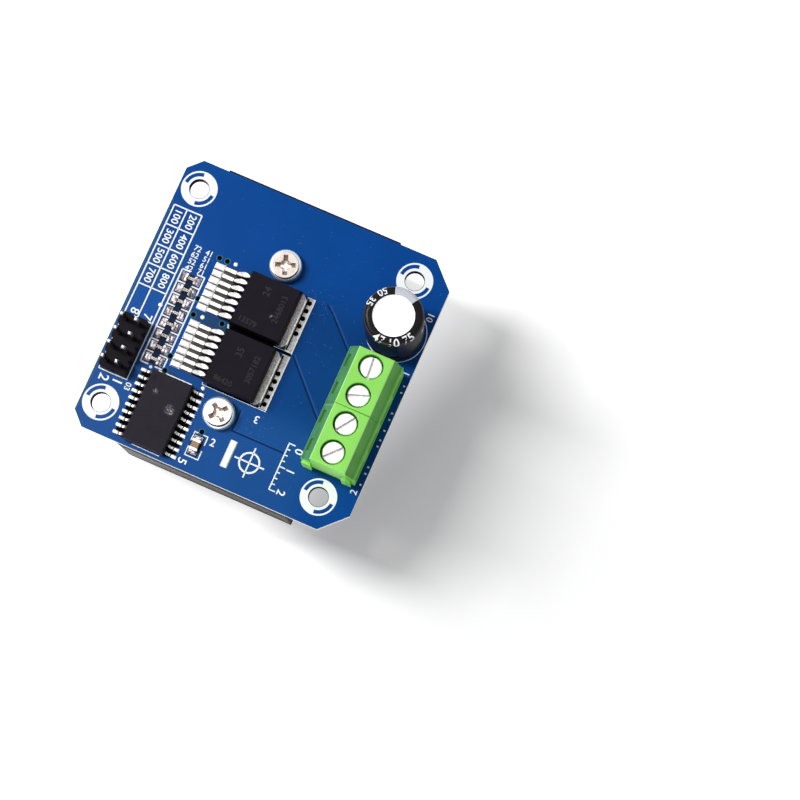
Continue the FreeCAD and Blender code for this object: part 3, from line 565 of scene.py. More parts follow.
@finish_for("screw_nickel", Metallic=0.70)
def screw_nickel(finish):
    """Warm nickel, with a painted highlight at the head's rim, a painted shadow crescent beside it, and
    brown in its cross recess.
    """
    dx, dy, radius, paint = turned(finish, (0.50, 0.450, 0.410), 0.34, PAN_X, PAN_YS[0],
                                   PAN_YS[0] - PAN_YS[1], 0.30)
    below = PAN_HIGH.z - finish.z
    paint = (finish.y < 0).blend(paint, (0.60, 0.575, 0.555))
    paint = finish.tint(paint, 0.78 + finish.noise(0.9, 3.0, warp=0.6) * 0.44)
    # Painted highlight: pale blue at the head's rim
    rim = radius.rise(PAN_RADIUS - 0.46, PAN_RADIUS - 0.34) * below.fall(0.75, 0.95)
    paint = rim.blend(paint, (0.76, 0.86, 0.96))
    # Painted shadow: a dark crescent along one side of the head
    facing = (dx * 0.64 - dy * 0.77) / radius
    shadow_crescent = (facing * 0.17 - abs(radius - PAN_RADIUS + 0.42)).rise(-0.01, 0.05)
    paint = (shadow_crescent * (below < 0.5)).blend(paint, (0.020, 0.016, 0.020))
    # The cross recess is painted a mottled brown, pale at its bottom
    recess_mottle = finish.noise(1.5, 3.0, warp=0.5)
    hollow = finish.tint((0.46, 0.37, 0.31), 0.25 + recess_mottle * 1.4)
    hollow = below.rise(1.0, 1.2).blend(hollow, (0.95, 0.92, 0.88))
    finish.colour((below.rise(0.05, 0.16) * radius.fall(1.85, 1.95)).blend(paint, hollow))


@finish_for("can_aluminium", Metallic=0.60)
def can_aluminium(finish):
    radius = finish.radius_from(CAN_X, CAN_Y)
    drawn = finish.noise(1.0, 3.0, stretch=(6.0, 6.0, 0.3))
    rings = (radius * 14.0 + finish.noise(0.7, 2.0) * 4.0).sine()
    finish.colour(finish.tint((0.98, 0.98, 0.99), 0.95 + drawn * 0.08))
    finish.roughness(0.34 + drawn * 0.10 + rings * 0.015)
    finish.bump(rings, 0.004, 0.5)
    finish.bump(drawn, 0.006, 0.4)


@finish_for("sleeve_black", Specular_IOR_Level=0.10, Coat_Weight=0.03, Coat_Roughness=0.10)
def sleeve_film(finish):
    """Glossy black film with a pale speckled stripe down one side, and a painted highlight along the crease
    at its shoulder.
    """
    dx, dy = finish.x - CAN_X, finish.y - CAN_Y
    turn = dy.bearing(dx) * (180 / math.pi)
    radius = length(dx, dy)
    depth = CAN_TOP - finish.z
    stripe = (turn > STRIPE_FROM_DEG) * (turn < STRIPE_TO_DEG)
    grain = finish.noise(4.5, 4.0)
    salt = finish.noise(5.5, 3.0)
    middle = abs(turn - (STRIPE_FROM_DEG + STRIPE_TO_DEG) / 2)
    dash = stripe * (middle < 6.0) * ((depth % 3.2) > 1.4) * (depth > 1.2)
    black = finish.tint((0.0090, 0.0068, 0.0085), 0.60 + grain * 0.7)
    # Painted highlight: a pale line along the film's crease at the shoulder
    crease_highlight = radius.rise(4.70, 4.80) * radius.fall(4.86, 4.96) * (depth < 0.9)
    black = (crease_highlight * 0.6).blend(black, (0.075, 0.070, 0.076))
    pale = finish.tint((0.58, 0.60, 0.67), 0.60 + salt * 0.8)
    paint = stripe.blend(black, pale)
    paint = (dash * 0.8).blend(paint, (0.03, 0.03, 0.035))
    finish.colour(paint)
    finish.roughness(0.24 + grain * 0.12 + stripe * 0.12)
    finish.bump(finish.noise(0.55, 3.0, stretch=(1.0, 1.0, 0.3)), 0.12, 0.35)
    finish.bump(grain, 0.006, 0.4)


@finish_for("terminal_green", Specular_IOR_Level=0.20, Subsurface_Weight=0.25,
            Subsurface_Radius=(0.35, 1.0, 0.25), Subsurface_Scale=1.1 * MM)
def green_polyamide(finish):
    """Moulded green plastic that lets a little light through, with painted shade on its back and front
    slopes, painted light in the slots and painted highlights along its edges and seam.
    """
    flow = finish.noise(0.35, 3.0, warp=0.5)
    skin = finish.noise(7.0, 3.0)
    speck = finish.cells(1.7).fall(0.05, 0.10)
    speck = speck * (finish.noise(0.6, 1.0) > 0.6)
    paint = finish.tint(LEAF_GREEN, 0.90 + flow * 0.16 + skin * 0.05)
    # Painted shade: the back slope a darker blue-green and the front slope a darker green
    back = finish.x.fall(BACK_EDGE_X - 0.08, BACK_EDGE_X + 0.02)
    front = finish.x.rise(FRONT_EDGE_X - 0.02, FRONT_EDGE_X + 0.08)
    streak = finish.noise(1.0, 3.0, stretch=(1.6, 0.30, 0.30))
    shade = 0.6 + streak * 0.9
    paint = (back * (finish.z > 8.62)).blend(paint, finish.tint((0.085, 0.300, 0.105), shade))
    # Painted light glowing through the slots in the back slope
    slot = back * (abs(finish.z - SLOT_FLOOR_Z) < 0.05)
    paint = slot.blend(paint, (0.045, 0.230, 0.008))
    slope = 0.45 + finish.z.rise(9.7, 9.9) * 0.45
    paint = (front * slope).blend(paint, finish.tint((0.062, 0.370, 0.030), shade))
    # Painted highlights along the top edges, the foot of the back slope and the seam
    edge = ridge(finish.x - BACK_EDGE_X, 0.14).most(ridge(finish.x - FRONT_EDGE_X, 0.12))
    paint = (edge * (finish.z > 13.1) * 0.6).blend(paint, (0.60, 0.92, 0.42))
    rim = back * ridge(finish.z - 8.7, 0.25)
    painted_seam_shading = back * ridge(finish.y - HOUSING_LOW.y, 0.14) * (finish.z > 8.5)
    paint = (rim.most(painted_seam_shading) * 0.55).blend(paint, (0.40, 0.72, 0.42))
    finish.colour((speck * 0.35).blend(paint, (0.55, 0.80, 0.42)))
    finish.roughness(0.33 + skin * 0.12 + flow * 0.05)
    finish.bump(skin, 0.010, 0.5)
    finish.bump(flow, 0.06, 0.25)


@finish_for("header_black", Specular_IOR_Level=0.04)
def header_plastic(finish):
    grain = finish.noise(9.0, 3.0)
    cloud = finish.noise(0.9, 3.0)
    finish.colour(finish.tint((0.0078, 0.0062, 0.0088), 0.4 + cloud * 0.9 + grain * 0.4))
    finish.roughness(0.36 + grain * 0.18)
    finish.bump(grain, 0.012, 0.6)


@finish_for("pin_tin", Metallic=1.0)
def pin_plating(finish):
    """Bright drawn plating on the tips, with the pins' sides painted darker as a painted reflection of the
    dark round them.
    """
    drawn = finish.noise(1.0, 3.0, stretch=(9.0, 9.0, 0.6))
    # Painted dark reflection on the pins' sides below their tips
    tip = finish.z.rise(PIN_TIP_Z - 0.30, PIN_TIP_Z - 0.12)
    finish.colour(finish.tint(tip.blend((0.30, 0.29, 0.28), (0.93, 0.91, 0.88)), 0.90 + drawn * 0.14))
    finish.roughness(0.13 + drawn * 0.08 + tip * 0.25)
    finish.bump(drawn, 0.006, 0.5)


@finish_for("lead_shade", Specular_IOR_Level=0.1)
def streaked_lead_shade(finish):
    """Painted shade under the power chips' leads: streaked grey between the feet and black under their
    shoulders.
    """
    streak = finish.noise(1.0, 3.0, stretch=(0.5, 7.0, 2.0))
    open_part = finish.x.fall(HEEL_X - 0.1, HEEL_X + 0.4)
    finish.colour((open_part * streak).blend((0.006, 0.005, 0.006), (0.16, 0.15, 0.14)))
    finish.roughness(0.5 + streak * 0.2)
    finish.bump(streak, 0.01, 0.5)


SLOT_OF = {row["node"]: row["material_slot"] for row in frame["record"]["subparts"]}


def paint(piece, finish):
    piece.data.materials.clear()
    piece.data.materials.append(FINISH[finish])


for name, piece in NODES.items():
    finish_name = SLOT_OF[name]
    if name.startswith("resistor") and name.endswith("ends"):
        finish_name = "patchy_solder"
    if name == "logic_chip_leads":
        finish_name = "logic_leads"
    paint(piece, finish_name)


# Small modelling moves
def start_clean():
    bpy.ops.object.select_all(action="DESELECT")


def alone(piece):
    """Leaves one piece selected and active, in object mode."""
    if bpy.context.mode != "OBJECT":
        bpy.ops.object.mode_set(mode="OBJECT")
    start_clean()
    piece.select_set(True)
    bpy.context.view_layer.objects.active = piece
    return piece


def opened(piece, select="SELECT"):
    """Opens a piece's mesh for editing, with all of it selected, or none."""
    alone(piece)
    bpy.ops.object.mode_set(mode="EDIT")
    bpy.ops.mesh.select_all(action=select)


def placed(name, data):
    """A new object for a curve, mesh, lamp or camera."""
    piece = bpy.data.objects.new(name, data)
    bpy.context.collection.objects.link(piece)
    return piece


def twin_of(piece):
    """A copy of a piece with its own mesh."""
    twin = piece.copy()
    twin.data = piece.data.copy()
    bpy.context.collection.objects.link(twin)
    return twin


def into_mesh(piece):
    """Puts an object's place, turn and scale into its mesh."""
    alone(piece)
    bpy.ops.object.transform_apply(location=True, rotation=True, scale=True)
    return piece


def added(name, scale=(1, 1, 1)):
    """The object that an operator has just added, named and scaled."""
    piece = bpy.context.object
    piece.name = name
    piece.scale = scale
    return into_mesh(piece)


def apply_modifier(piece, kind, **settings):
    alone(piece)
    modifier = piece.modifiers.new("step", kind)
    for key, value in settings.items():
        setattr(modifier, key, value)
    bpy.ops.object.modifier_apply(modifier="step")


def cut_away(piece, tool):
    apply_modifier(piece, "BOOLEAN", object=tool, operation="DIFFERENCE", solver="EXACT")
    bpy.data.objects.remove(tool)


def smooth(piece, degrees=35):
    alone(piece)
    bpy.ops.object.shade_smooth_by_angle(angle=math.radians(degrees))
    return piece


def joined(name, pieces):
    """One object of several, at the origin."""
    start_clean()
    for piece in pieces:
        piece.select_set(True)
    bpy.context.view_layer.objects.active = pieces[0]
    if len(pieces) > 1:
        bpy.ops.object.join()
    return added(name)


def copies(piece, places):
    """Copies of a piece moved to places in millimetres, instead of the piece itself."""
    made = []
    for place in places:
        twin = twin_of(piece)
        twin.location = Vector(place) * MM
        made.append(into_mesh(twin))
    bpy.data.objects.remove(piece)
    return made


def finished(piece, finish, body=ROOT, replaces=()):
    paint(piece, finish)
    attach(piece, body)
    if replaces:
        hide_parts(*replaces)
    return piece


def block(name, low, high, round_mm=0.0):
    """A box between two opposite corners in millimetres, in either order, with its edges rounded."""
    start_clean()
    bpy.ops.mesh.primitive_cube_add(size=1, location=[(a + b) / 2 * MM for a, b in zip(low, high)])
    piece = added(name, [abs(b - a) * MM for a, b in zip(low, high)])
    if round_mm:
        apply_modifier(piece, "BEVEL", width=round_mm * MM, segments=2, limit_method="NONE")
    return piece


def disc(name, x, y, z_low, z_high, radius, vertices):
    start_clean()
    bpy.ops.mesh.primitive_cylinder_add(vertices=vertices, radius=radius * MM, depth=(z_high - z_low) * MM,
                                        location=(x * MM, y * MM, (z_low + z_high) / 2 * MM))
    return added(name)


def pillow(name, low, high, rise_mm):
    """A low mound of solder over a rectangle, flat below and domed above."""
    piece = block(name, low, high)
    opened(piece, "DESELECT")
    mesh = bmesh.from_edit_mesh(piece.data)
    for face in mesh.faces:
        face.select_set(face.normal.z > 0.9)
    bmesh.update_edit_mesh(piece.data)
    inset = min(abs(high[0] - low[0]), abs(high[1] - low[1])) * 0.22
    bpy.ops.mesh.inset(thickness=inset * MM, depth=rise_mm * MM)
    apply_modifier(piece, "BEVEL", width=0.03 * MM, segments=1, limit_method="NONE")
    apply_modifier(piece, "SUBSURF", levels=2, render_levels=2)
    return smooth(piece, 60)


SHARP_DEG = 32


def weigh_edges(piece, flat_y):
    """Marks the sharp edges to be rounded, all but those that lie in the plane at flat_y."""
    mesh = bmesh.from_edit_mesh(piece.data)
    weight = mesh.edges.layers.float.new("bevel_weight_edge")
    for edge in mesh.edges:
        sharp = edge.is_manifold and edge.calc_face_angle() > math.radians(SHARP_DEG)
        flat = all(abs(vertex.co.y / MM - flat_y) < 0.1 for vertex in edge.verts)
        edge[weight] = 1.0 if sharp and not flat else 0.0
    bmesh.update_edit_mesh(piece.data)


def softened(node, width_mm, finish=None, flat_y=None):
    """A copy of a CAD piece with rounded edges, shown in its place."""
    piece = twin_of(NODES[node])
    piece.name = node + "_soft"
    piece.parent = None
    for key in list(piece.keys()):
        del piece[key]
    body = frame["record"]["behaviour"]["bodies"]
    owner = next(name for name, nodes in body.items() if node in nodes)
    alone(piece)
    bpy.ops.mesh.customdata_custom_splitnormals_clear()
    opened(piece)
    bpy.ops.mesh.remove_doubles(threshold=0.0005 * MM)
    bpy.ops.mesh.dissolve_limited(angle_limit=math.radians(1.0))
    if flat_y is not None:
        weigh_edges(piece, flat_y)
    apply_modifier(piece, "BEVEL", width=width_mm * MM, segments=2,
                   limit_method="ANGLE" if flat_y is None else "WEIGHT", angle_limit=math.radians(SHARP_DEG))
    smooth(piece, 60)
    apply_modifier(piece, "WEIGHTED_NORMAL", keep_sharp=True)
    return finished(piece, finish or SLOT_OF[node], owner, (node,))


# Print: strokes are flattened round bars, figures are set in a plain face
INK_HEIGHT = 0.018
INK_LIFT = 0.004


def strokes(name, routes, width_mm, z, closed=False, height=INK_HEIGHT):
    """Flat ink lines along routes of (x, y) points, as one piece lying at height z."""
    curve = bpy.data.curves.new(name, "CURVE")
    curve.dimensions = "3D"
    curve.bevel_depth = width_mm / 2 * MM
    curve.bevel_resolution = 1
    curve.use_fill_caps = True
    for route in routes:
        spline = curve.splines.new("POLY")
        spline.points.add(len(route) - 1)
        for point, (x, y) in zip(spline.points, route):
            point.co = (x * MM, y * MM, 0, 1)
        spline.use_cyclic_u = closed
    alone(placed(name, curve))
    bpy.ops.object.convert(target="MESH")
    bpy.context.object.location = (0, 0, z * MM)
    return added(name, (1, 1, height / width_mm))


def arc(x, y, radius, start_deg, end_deg, steps=24):
    angles = [math.radians(start_deg + (end_deg - start_deg) * i / steps) for i in range(steps + 1)]
    return [(x + radius * math.cos(a), y + radius * math.sin(a)) for a in angles]


def circle(x, y, radius, steps):
    return arc(x, y, radius, 0, 360, steps)[:-1]


def figures(name, entries, z, under=False):
    """Plain numbers: each entry is (text, x, y, height in mm, turn in degrees)."""
    made = []
    for text, x, y, height, turn in entries:
        start_clean()
        bpy.ops.object.text_add()
        piece = bpy.context.object
        piece.data.body = text
        piece.data.size = height / 0.70 * MM
        piece.data.extrude = INK_HEIGHT / 2 * MM
        piece.data.offset = 0.018 * height * MM
        piece.data.resolution_u = 3
        piece.data.align_x = piece.data.align_y = "CENTER"
        piece.location = (x * MM, y * MM, z * MM)
        piece.rotation_euler = (math.pi if under else 0, 0, math.radians(turn))
        alone(piece)
        bpy.ops.object.convert(target="MESH")
        made.append(into_mesh(bpy.context.object))
    return joined(name, made)


def hole_rings(name, z_low):
    """White ring round each fixing hole, with two arcs where the blue shows through."""
    z_high = z_low + INK_HEIGHT
    plate = disc("plate", 0, 0, z_low, z_high, 3.13, 64)
    cut_away(plate, disc("bore", 0, 0, z_low - 0.1, z_high + 0.1, 1.74, 48))
    cut_away(plate, strokes("slots", [arc(0, 0, 2.51, 95, 175), arc(0, 0, 2.51, 275, 355)], 0.66,
                            (z_low + z_high) / 2, height=0.5))
    return joined(name, copies(plate, [(x, y, 0) for x, y in HOLES]))


TABLE_XS = (-22.75, -20.35, -17.6)
TABLE_YS = (15.9, 12.3, 8.5, 4.95, 1.15, -4.4)
HEADER_BOTTOM = -14.8
RESISTOR_BOX = (-16.85, -12.75, 6.3, -10.9)
RESISTOR_SEPARATORS = (4.1, 1.95, -0.15, -2.3, -4.45, -6.6, -8.75)
SEPARATOR_GAP = (-15.4, -14.2)
LINE_WIDTH = 0.28


def print_top():
    z = TOP + INK_LIFT
    lines = [[(x, TABLE_YS[0]), (x, TABLE_YS[-1])] for x in TABLE_XS]
    lines += [[(TABLE_XS[0], y), (TABLE_XS[-1], y)] for y in TABLE_YS]
    lines.append([(TABLE_XS[0], TABLE_YS[-1]), (TABLE_XS[0], HEADER_BOTTOM),
                  (TABLE_XS[-1], HEADER_BOTTOM), (TABLE_XS[-1], TABLE_YS[-1])])
    left, right, high, low = RESISTOR_BOX
    lines += [[(left, low), (left, high)], [(right, low), (right, high)]]
    for y in (high, *RESISTOR_SEPARATORS, low):
        lines += [[(left, y), (SEPARATOR_GAP[0], y)], [(SEPARATOR_GAP[1], y), (right, y)]]
    lines += [
        [(-5.8, 0.7), (-5.6, 0.0), (-4.2, 0.0)],
        [(-13.3, -11.25), (-7.2, -11.25)],
        [(-3.4, -19.8), (-3.4, -18.2), (-1.0, -18.2), (-1.0, -19.8)],
        [(-3.4, -20.8), (-3.4, -22.4), (-1.0, -22.4), (-1.0, -20.8)],
    ]
    for y in (2.8, 1.6, -2.2, -3.4, -5.4, -7.15, -8.3, -12.1, -13.3, -15.3):
        lines.append([(25.42, y), (25.77, y)])
    chip_lines = [
        [(-5.75, -9.9), (-5.6, -10.46), (6.1, -10.46)],
        [(0.5, 0.24), (6.1, 0.24)],
        [(-12.3, -24.36), (-7.2, -24.40)],
    ]
    ring_x, ring_y, arm = 7.1, -19.4, 2.7
    cross = [[(ring_x - arm, ring_y), (ring_x + arm, ring_y)],
             [(ring_x, ring_y - arm), (ring_x, ring_y + arm)]]
    scale_x = 11.9
    ticks = [[(scale_x, -13.6), (scale_x, -22.2)]]
    for i in range(9):
        reach = 1.1 if i % 4 == 0 else 0.6
        ticks.append([(scale_x, -13.7 - i * 1.05), (scale_x + reach, -13.7 - i * 1.05)])
    pieces = [
        strokes("lines", lines, LINE_WIDTH, z),
        strokes("chip_lines", chip_lines, 0.15, z),
        strokes("capacitor_circle", [circle(CAN_X + 0.38, CAN_Y - 0.14, 5.12, 64)], 0.16, z, True),
        strokes("white_bar", [[(3.35, -17.0), (3.35, -21.8)]], 1.3, z),
        strokes("mark_ring", [circle(ring_x, ring_y, 1.7, 40)], 0.36, z, True),
        strokes("mark_cross", cross, 0.30, z),
        disc("first_pin_dot", -14.8, -11.2, TOP, TOP + INK_HEIGHT, 0.28, 16),
        strokes("scale", ticks, 0.24, z),
    ]
    rows = []
    for i, (high_y, low_y) in enumerate(zip(TABLE_YS[:4], TABLE_YS[1:5])):
        y = (high_y + low_y) / 2
        rows.append((f"{2 * i + 1}00", -21.58, y, 1.25, -90))
        rows.append((f"{2 * i + 2}00", -18.98, y, 1.25, -90))
    for i in range(4):
        rows.append((f"{7 - i}2", -15.9, 10.4 - i * 1.22, 0.95, 0))
        rows.append((f"{4 + i}1", -13.75, 10.4 - i * 1.18, 0.95, 0))
    rows += [
        ("8", -21.3, -3.55, 1.5, -90), ("7", -18.9, -3.65, 1.5, -90),
        ("2", -21.4, -15.95, 1.7, -90), ("1", -19.0, -15.7, 1.7, -90), ("03", -17.0, -15.8, 1.0, -90),
        ("5", -3.4, -23.6, 1.5, -90), ("2", 0.1, -18.8, 1.3, 0), ("3", 5.2, -12.2, 1.3, 180),
        ("1", 25.1, 4.9, 1.15, 90), ("2", 25.1, -16.9, 1.15, 90), ("01", 25.0, 15.3, 1.15, 90),
        ("0", 13.9, -14.4, 1.4, -90), ("1", 13.9, -18.0, 1.4, -90), ("2", 13.9, -21.9, 1.4, -90),
    ]
    pieces += [figures("numbers", rows, TOP + INK_HEIGHT / 2), hole_rings("rings", TOP)]
    # Painted shade: a dark ring just inside each fixing hole's rim, where its wall is shaded
    rims = [circle(x, y, 1.73, 48) for x, y in HOLES]
    finished(strokes("hole_rim_shade", rims, 0.10, z, True), "dark")
    return finished(joined("print_top", pieces), "ink")


def print_underside():
    z = -INK_LIFT
    lines = [
        [(15.6, 24.3), (15.6, -24.4)],
        [(-22.9, -3.4), (-22.9, -15.8)], [(-17.55, -3.4), (-17.55, -15.8)],
        [(-22.9, -3.4), (-17.55, -3.4)], [(-22.9, -15.8), (-17.55, -15.8)],
    ]
    signs = [[(23.1, y - 0.55), (23.1, y + 0.55)] for y in POLE_YS]
    signs += [[(22.55, y), (23.65, y)] for y in POLE_YS[::2]]
    rows = [(f"{i + 1}", 24.6, y, 1.3, 90) for i, y in enumerate(POLE_YS)]
    rows += [(f"{8 - i}", -22.7, 12.5 - i * 3.6, 1.1, 90) for i in range(4)]
    pieces = [strokes("lines", lines, LINE_WIDTH, z), strokes("signs", signs, 0.24, z),
              figures("numbers", rows, z - INK_HEIGHT / 4, under=True), hole_rings("rings", -INK_HEIGHT)]
    return finished(joined("print_underside", pieces), "ink")


# Lands and solder
LAND_HEIGHT = 0.05
# Top of the thin sheets of painted shade laid on the board
SHEET_TOP = TOP + 0.012
LEAD_PITCH = 1.27
VIA_PITCH = 1.41
VIA_RADIUS = 0.43
RESISTOR_X = -14.8
RESISTOR_YS = [5.2 - 2.14 * i for i in range(8)]


def driver_pads(i):
    """One land to each lead, ending just short of the toe, and a sheet of painted shade between and under
    the leads.
    """
    toe = box_mm(f"driver_{i}_leads")[0].x
    pad = block("pad", (toe - 1.90, -0.53, TOP), (toe - 0.12, 0.53, TOP + LAND_HEIGHT), 0.02)
    mound = pillow("mound", (toe - 1.86, -0.51, TOP + 0.02), (toe - 0.14, 0.51, TOP + 0.12), 0.16)
    under = block("under", (toe - 0.02, -0.29, TOP), (toe + 1.96, 0.29, TOP + LAND_HEIGHT), 0.02)
    rows = DRIVER_LEAD_YS[i]
    made = copies(joined("cell", [pad, mound, under]), [(0, y, 0) for y in rows])
    # Painted shade under and between the leads
    lead_shade = block("lead_shade", (toe - 1.84, rows[0] - 0.54, TOP), (DRIVER_EDGE_X + 0.4, rows[-1] + 0.54, SHEET_TOP))
    finished(smooth(lead_shade), "lead_shade").name = f"driver_{i}_flux"
    return finished(joined(f"driver_{i}_pads", made), "solder")


def tab_land(i):
    """Tinned land beyond the tab, drilled with a row of vias, with dark discs as painted shade inside the
    vias and a painted shadow of the tab along its edge.
    """
    edge = box_mm(f"driver_{i}_tab")[1].x
    low_y, high_y = (0.30, 10.30) if i == 1 else (-10.30, -0.30)
    via_x, via_y = (edge + 0.45, 9.35) if i == 1 else (edge + 0.50, -3.75)
    spots = [(via_x, via_y - VIA_PITCH * j) for j in range(5)]
    land = block("land", (edge - 0.2, low_y, TOP), (6.10, high_y, TOP + 0.09), 0.03)
    drills = [disc("drill", x, y, TOP - 0.2, TOP + 0.4, VIA_RADIUS, 24) for x, y in spots]
    cut_away(land, joined("tool", drills))
    # Painted shade: dark discs inside the via holes
    plugs = [disc("plug", x, y, TOP, SHEET_TOP, VIA_RADIUS, 24) for x, y in spots]
    # Painted shadow of the tab along its edge
    plugs.append(block("painted_seam_shading", (edge - 0.10, low_y + 0.20, TOP + 0.085),
                       (edge + 0.19, high_y - 0.20, TOP + 0.10)))
    # Painted shade: dark strips between the two power chips, and along the second chip's outer side
    if i == 1:
        plugs.append(block("shade_strip", (DRIVER_EDGE_X, -0.66, TOP), (2.7, 0.66, SHEET_TOP)))
        plugs.append(block("shade_strip", (2.6, -0.26, TOP), (6.0, 0.26, SHEET_TOP)))
    else:
        plugs.append(block("shade_strip", (DRIVER_EDGE_X + 0.6, -10.42, TOP), (edge + 0.1, -10.1, SHEET_TOP)))
    finished(joined(f"tab_land_{i}_vias", plugs), "dark")
    return finished(smooth(joined(f"tab_land_{i}", [land])), "dull_land")


def logic_pads():
    """Two beads of solder to each lead, one beyond its toe and one over its foot."""
    ys = [LOGIC_HIGH.y - 0.21 - LEAD_PITCH * i for i in range(10)]
    made, floors = [], []
    for side, toe in ((-1, LOGIC_LOW.x), (1, LOGIC_HIGH.x)):
        bead = pillow("bead", (toe + side * 0.72, -0.33, TOP), (toe - side * 0.36, 0.33, TOP + 0.22), 0.22)
        made += copies(bead, [(0, y, 0) for y in ys])
        # Painted shadow of the raised leads: dark sheets under them near the body
        floors.append(block("lead_shade", (toe + side * 0.34, ys[-1] - 0.42, TOP),
                            (toe - side * 1.7, ys[0] + 0.42, SHEET_TOP)))
    finished(joined("logic_lead_shade", floors), "dark")
    return finished(joined("logic_pads", made), "solder")


def resistor_pads():
    made = []
    for side in (-1, 1):
        pad = block("pad", (RESISTOR_X + side * 0.66, -0.74, TOP),
                    (RESISTOR_X + side * 1.68, 0.74, TOP + LAND_HEIGHT), 0.02)
        mound = pillow("mound", (RESISTOR_X + side * 0.93, -0.68, TOP + 0.02),
                       (RESISTOR_X + side * 1.62, 0.68, TOP + 0.14), 0.20)
        made += copies(joined("cell", [pad, mound]), [(0, y, 0) for y in RESISTOR_YS])
    return finished(joined("resistor_pads", made), "patchy_solder")


def ceramic_pads():
    low, high = box_mm("ceramic_capacitor_ends")
    x = (low.x + high.x) / 2
    made = []
    for side, y in ((1, high.y), (-1, low.y)):
        made.append(block("pad", (x - 0.78, y - side * 0.45, TOP),
                          (x + 0.78, y + side * 0.62, TOP + LAND_HEIGHT), 0.02))
        made.append(pillow("mound", (x - 0.70, y - side * 0.10, TOP + 0.02),
                           (x + 0.70, y + side * 0.55, TOP + 0.22), 0.34))
    shade = block("shade", (x - 0.95, low.y - 0.75, TOP), (x + 0.95, high.y + 0.75, SHEET_TOP))
    finished(shade, "dark").name = "ceramic_shade"
    return finished(joined("ceramic_pads", made), "patchy_solder")


OPEN_VIAS = [(-11.85, 10.45), (-10.4, 10.45), (-12.3, 2.6), (-11.9, -0.2), (-6.8, 0.3), (-12.5, -8.2),
             (-12.3, -10.8), (-2.3, -17.8)]
FILLED_VIAS = [(-8.9, 10.5), (-10.3, 0.0), (-17.7, -0.9), (-5.2, -11.0)]


def vias():
    rings, holes, plugs = [], [], []
    for x, y in OPEN_VIAS:
        start_clean()
        bpy.ops.mesh.primitive_torus_add(
            major_radius=0.50 * MM, minor_radius=0.10 * MM, major_segments=28, minor_segments=8,
            location=(x * MM, y * MM, (TOP + 0.01) * MM),
        )
        rings.append(smooth(added("ring", (1, 1, 0.35)), 60))
        # Painted shade: a dark disc stands in for the shaded inside of each via hole
        holes.append(disc("hole", x, y, TOP, TOP + 0.02, 0.42, 24))
    for x, y in FILLED_VIAS:
        start_clean()
        bpy.ops.mesh.primitive_uv_sphere_add(segments=24, ring_count=12, radius=0.38 * MM,
                                             location=(x * MM, y * MM, TOP * MM))
        plugs.append(smooth(added("bead", (1, 1, 0.35)), 60))
    finished(joined("via_rings", rings), "olive_rim")
    finished(joined("via_holes", holes), "dark")
    finished(joined("via_beads", plugs), "solder")


def chip_marks():
    """Faint plain numbers where the moulded chips are marked."""
    rows = {
        1: [("2468013", 1.75, 5.7, 1.0, 90), ("13579", -2.5, 1.75, 0.95, -4), ("24", -1.4, 7.7, 1.2, 90)],
        2: [("3057182", 1.75, -5.4, 1.0, 90), ("86420", -2.1, -9.0, 0.95, -4), ("35", -1.35, -3.5, 1.2, 90)],
    }
    for i in (1, 2):
        z = box_mm(f"driver_{i}_body")[1].z
        finished(figures(f"driver_{i}_marks", rows[i], z), "laser")


def resistor_numbers():
    z = box_mm("resistor_1")[1].z
    rows = [(f"{i + 1}00", RESISTOR_X, y, 0.50, 0) for i, y in enumerate(RESISTOR_YS)]
    return finished(figures("resistor_numbers", rows, z + INK_HEIGHT / 2), "ink")


SLEEVE_HIGH = box_mm("capacitor_sleeve")[1]
SLEEVE_TOP = SLEEVE_HIGH.z - 0.025
SLEEVE_RADIUS = SLEEVE_HIGH.x - CAN_X
SHOULDER_ROUND = 0.84


def sleeve_point(turn, reach, lift):
    """The point on the sleeve at a turn in radians and a way from 3.5 mm outwards and down the wall."""
    flat = SLEEVE_RADIUS - SHOULDER_ROUND - 3.5
    bend = (reach - flat) / SHOULDER_ROUND
    if bend <= 0:
        radius, z, lean = 3.5 + reach, SLEEVE_TOP, 0.0
    elif bend < math.pi / 2:
        radius = SLEEVE_RADIUS - SHOULDER_ROUND * (1 - math.sin(bend))
        z = SLEEVE_TOP - SHOULDER_ROUND * (1 - math.cos(bend))
        lean = bend
    else:
        radius = SLEEVE_RADIUS
        z = SLEEVE_TOP - SHOULDER_ROUND - (bend - math.pi / 2) * SHOULDER_ROUND
        lean = math.pi / 2
    radius += lift * math.sin(lean)
    z += lift * math.cos(lean)
    return CAN_X + radius * math.cos(turn), CAN_Y + radius * math.sin(turn), z


def sleeve_numbers():
    """Plain numbers wrapped over the capacitor's shoulder and down its wall."""
    rows = [("35", 170, 1.10, 1.3), ("50", 138, 1.00, 1.3), ("47", -99, 1.15, 1.5), ("10", -67, 1.20, 1.5),
            ("75", -34, 1.15, 1.5), ("100", 160, 5.2, 1.8), ("200", 160, 8.2, 1.8), ("500", 20, 5.2, 1.8)]
    made = []
    for text, turn, reach, height in rows:
        piece = figures("number", [(text, 0, 0, height, 0)], 0)
        opened(piece)
        bpy.ops.mesh.quads_convert_to_tris()
        bpy.ops.mesh.subdivide(number_cuts=2)
        bpy.ops.object.mode_set(mode="OBJECT")
        for vertex in piece.data.vertices:
            across, up, lift = [value / MM for value in vertex.co]
            place = sleeve_point(math.radians(turn) + across / 4.8, reach - up, max(lift, 0.0) + 0.004)
            vertex.co = Vector(place) * MM
        made.append(piece)
    return finished(joined("sleeve_numbers", made), "ink")


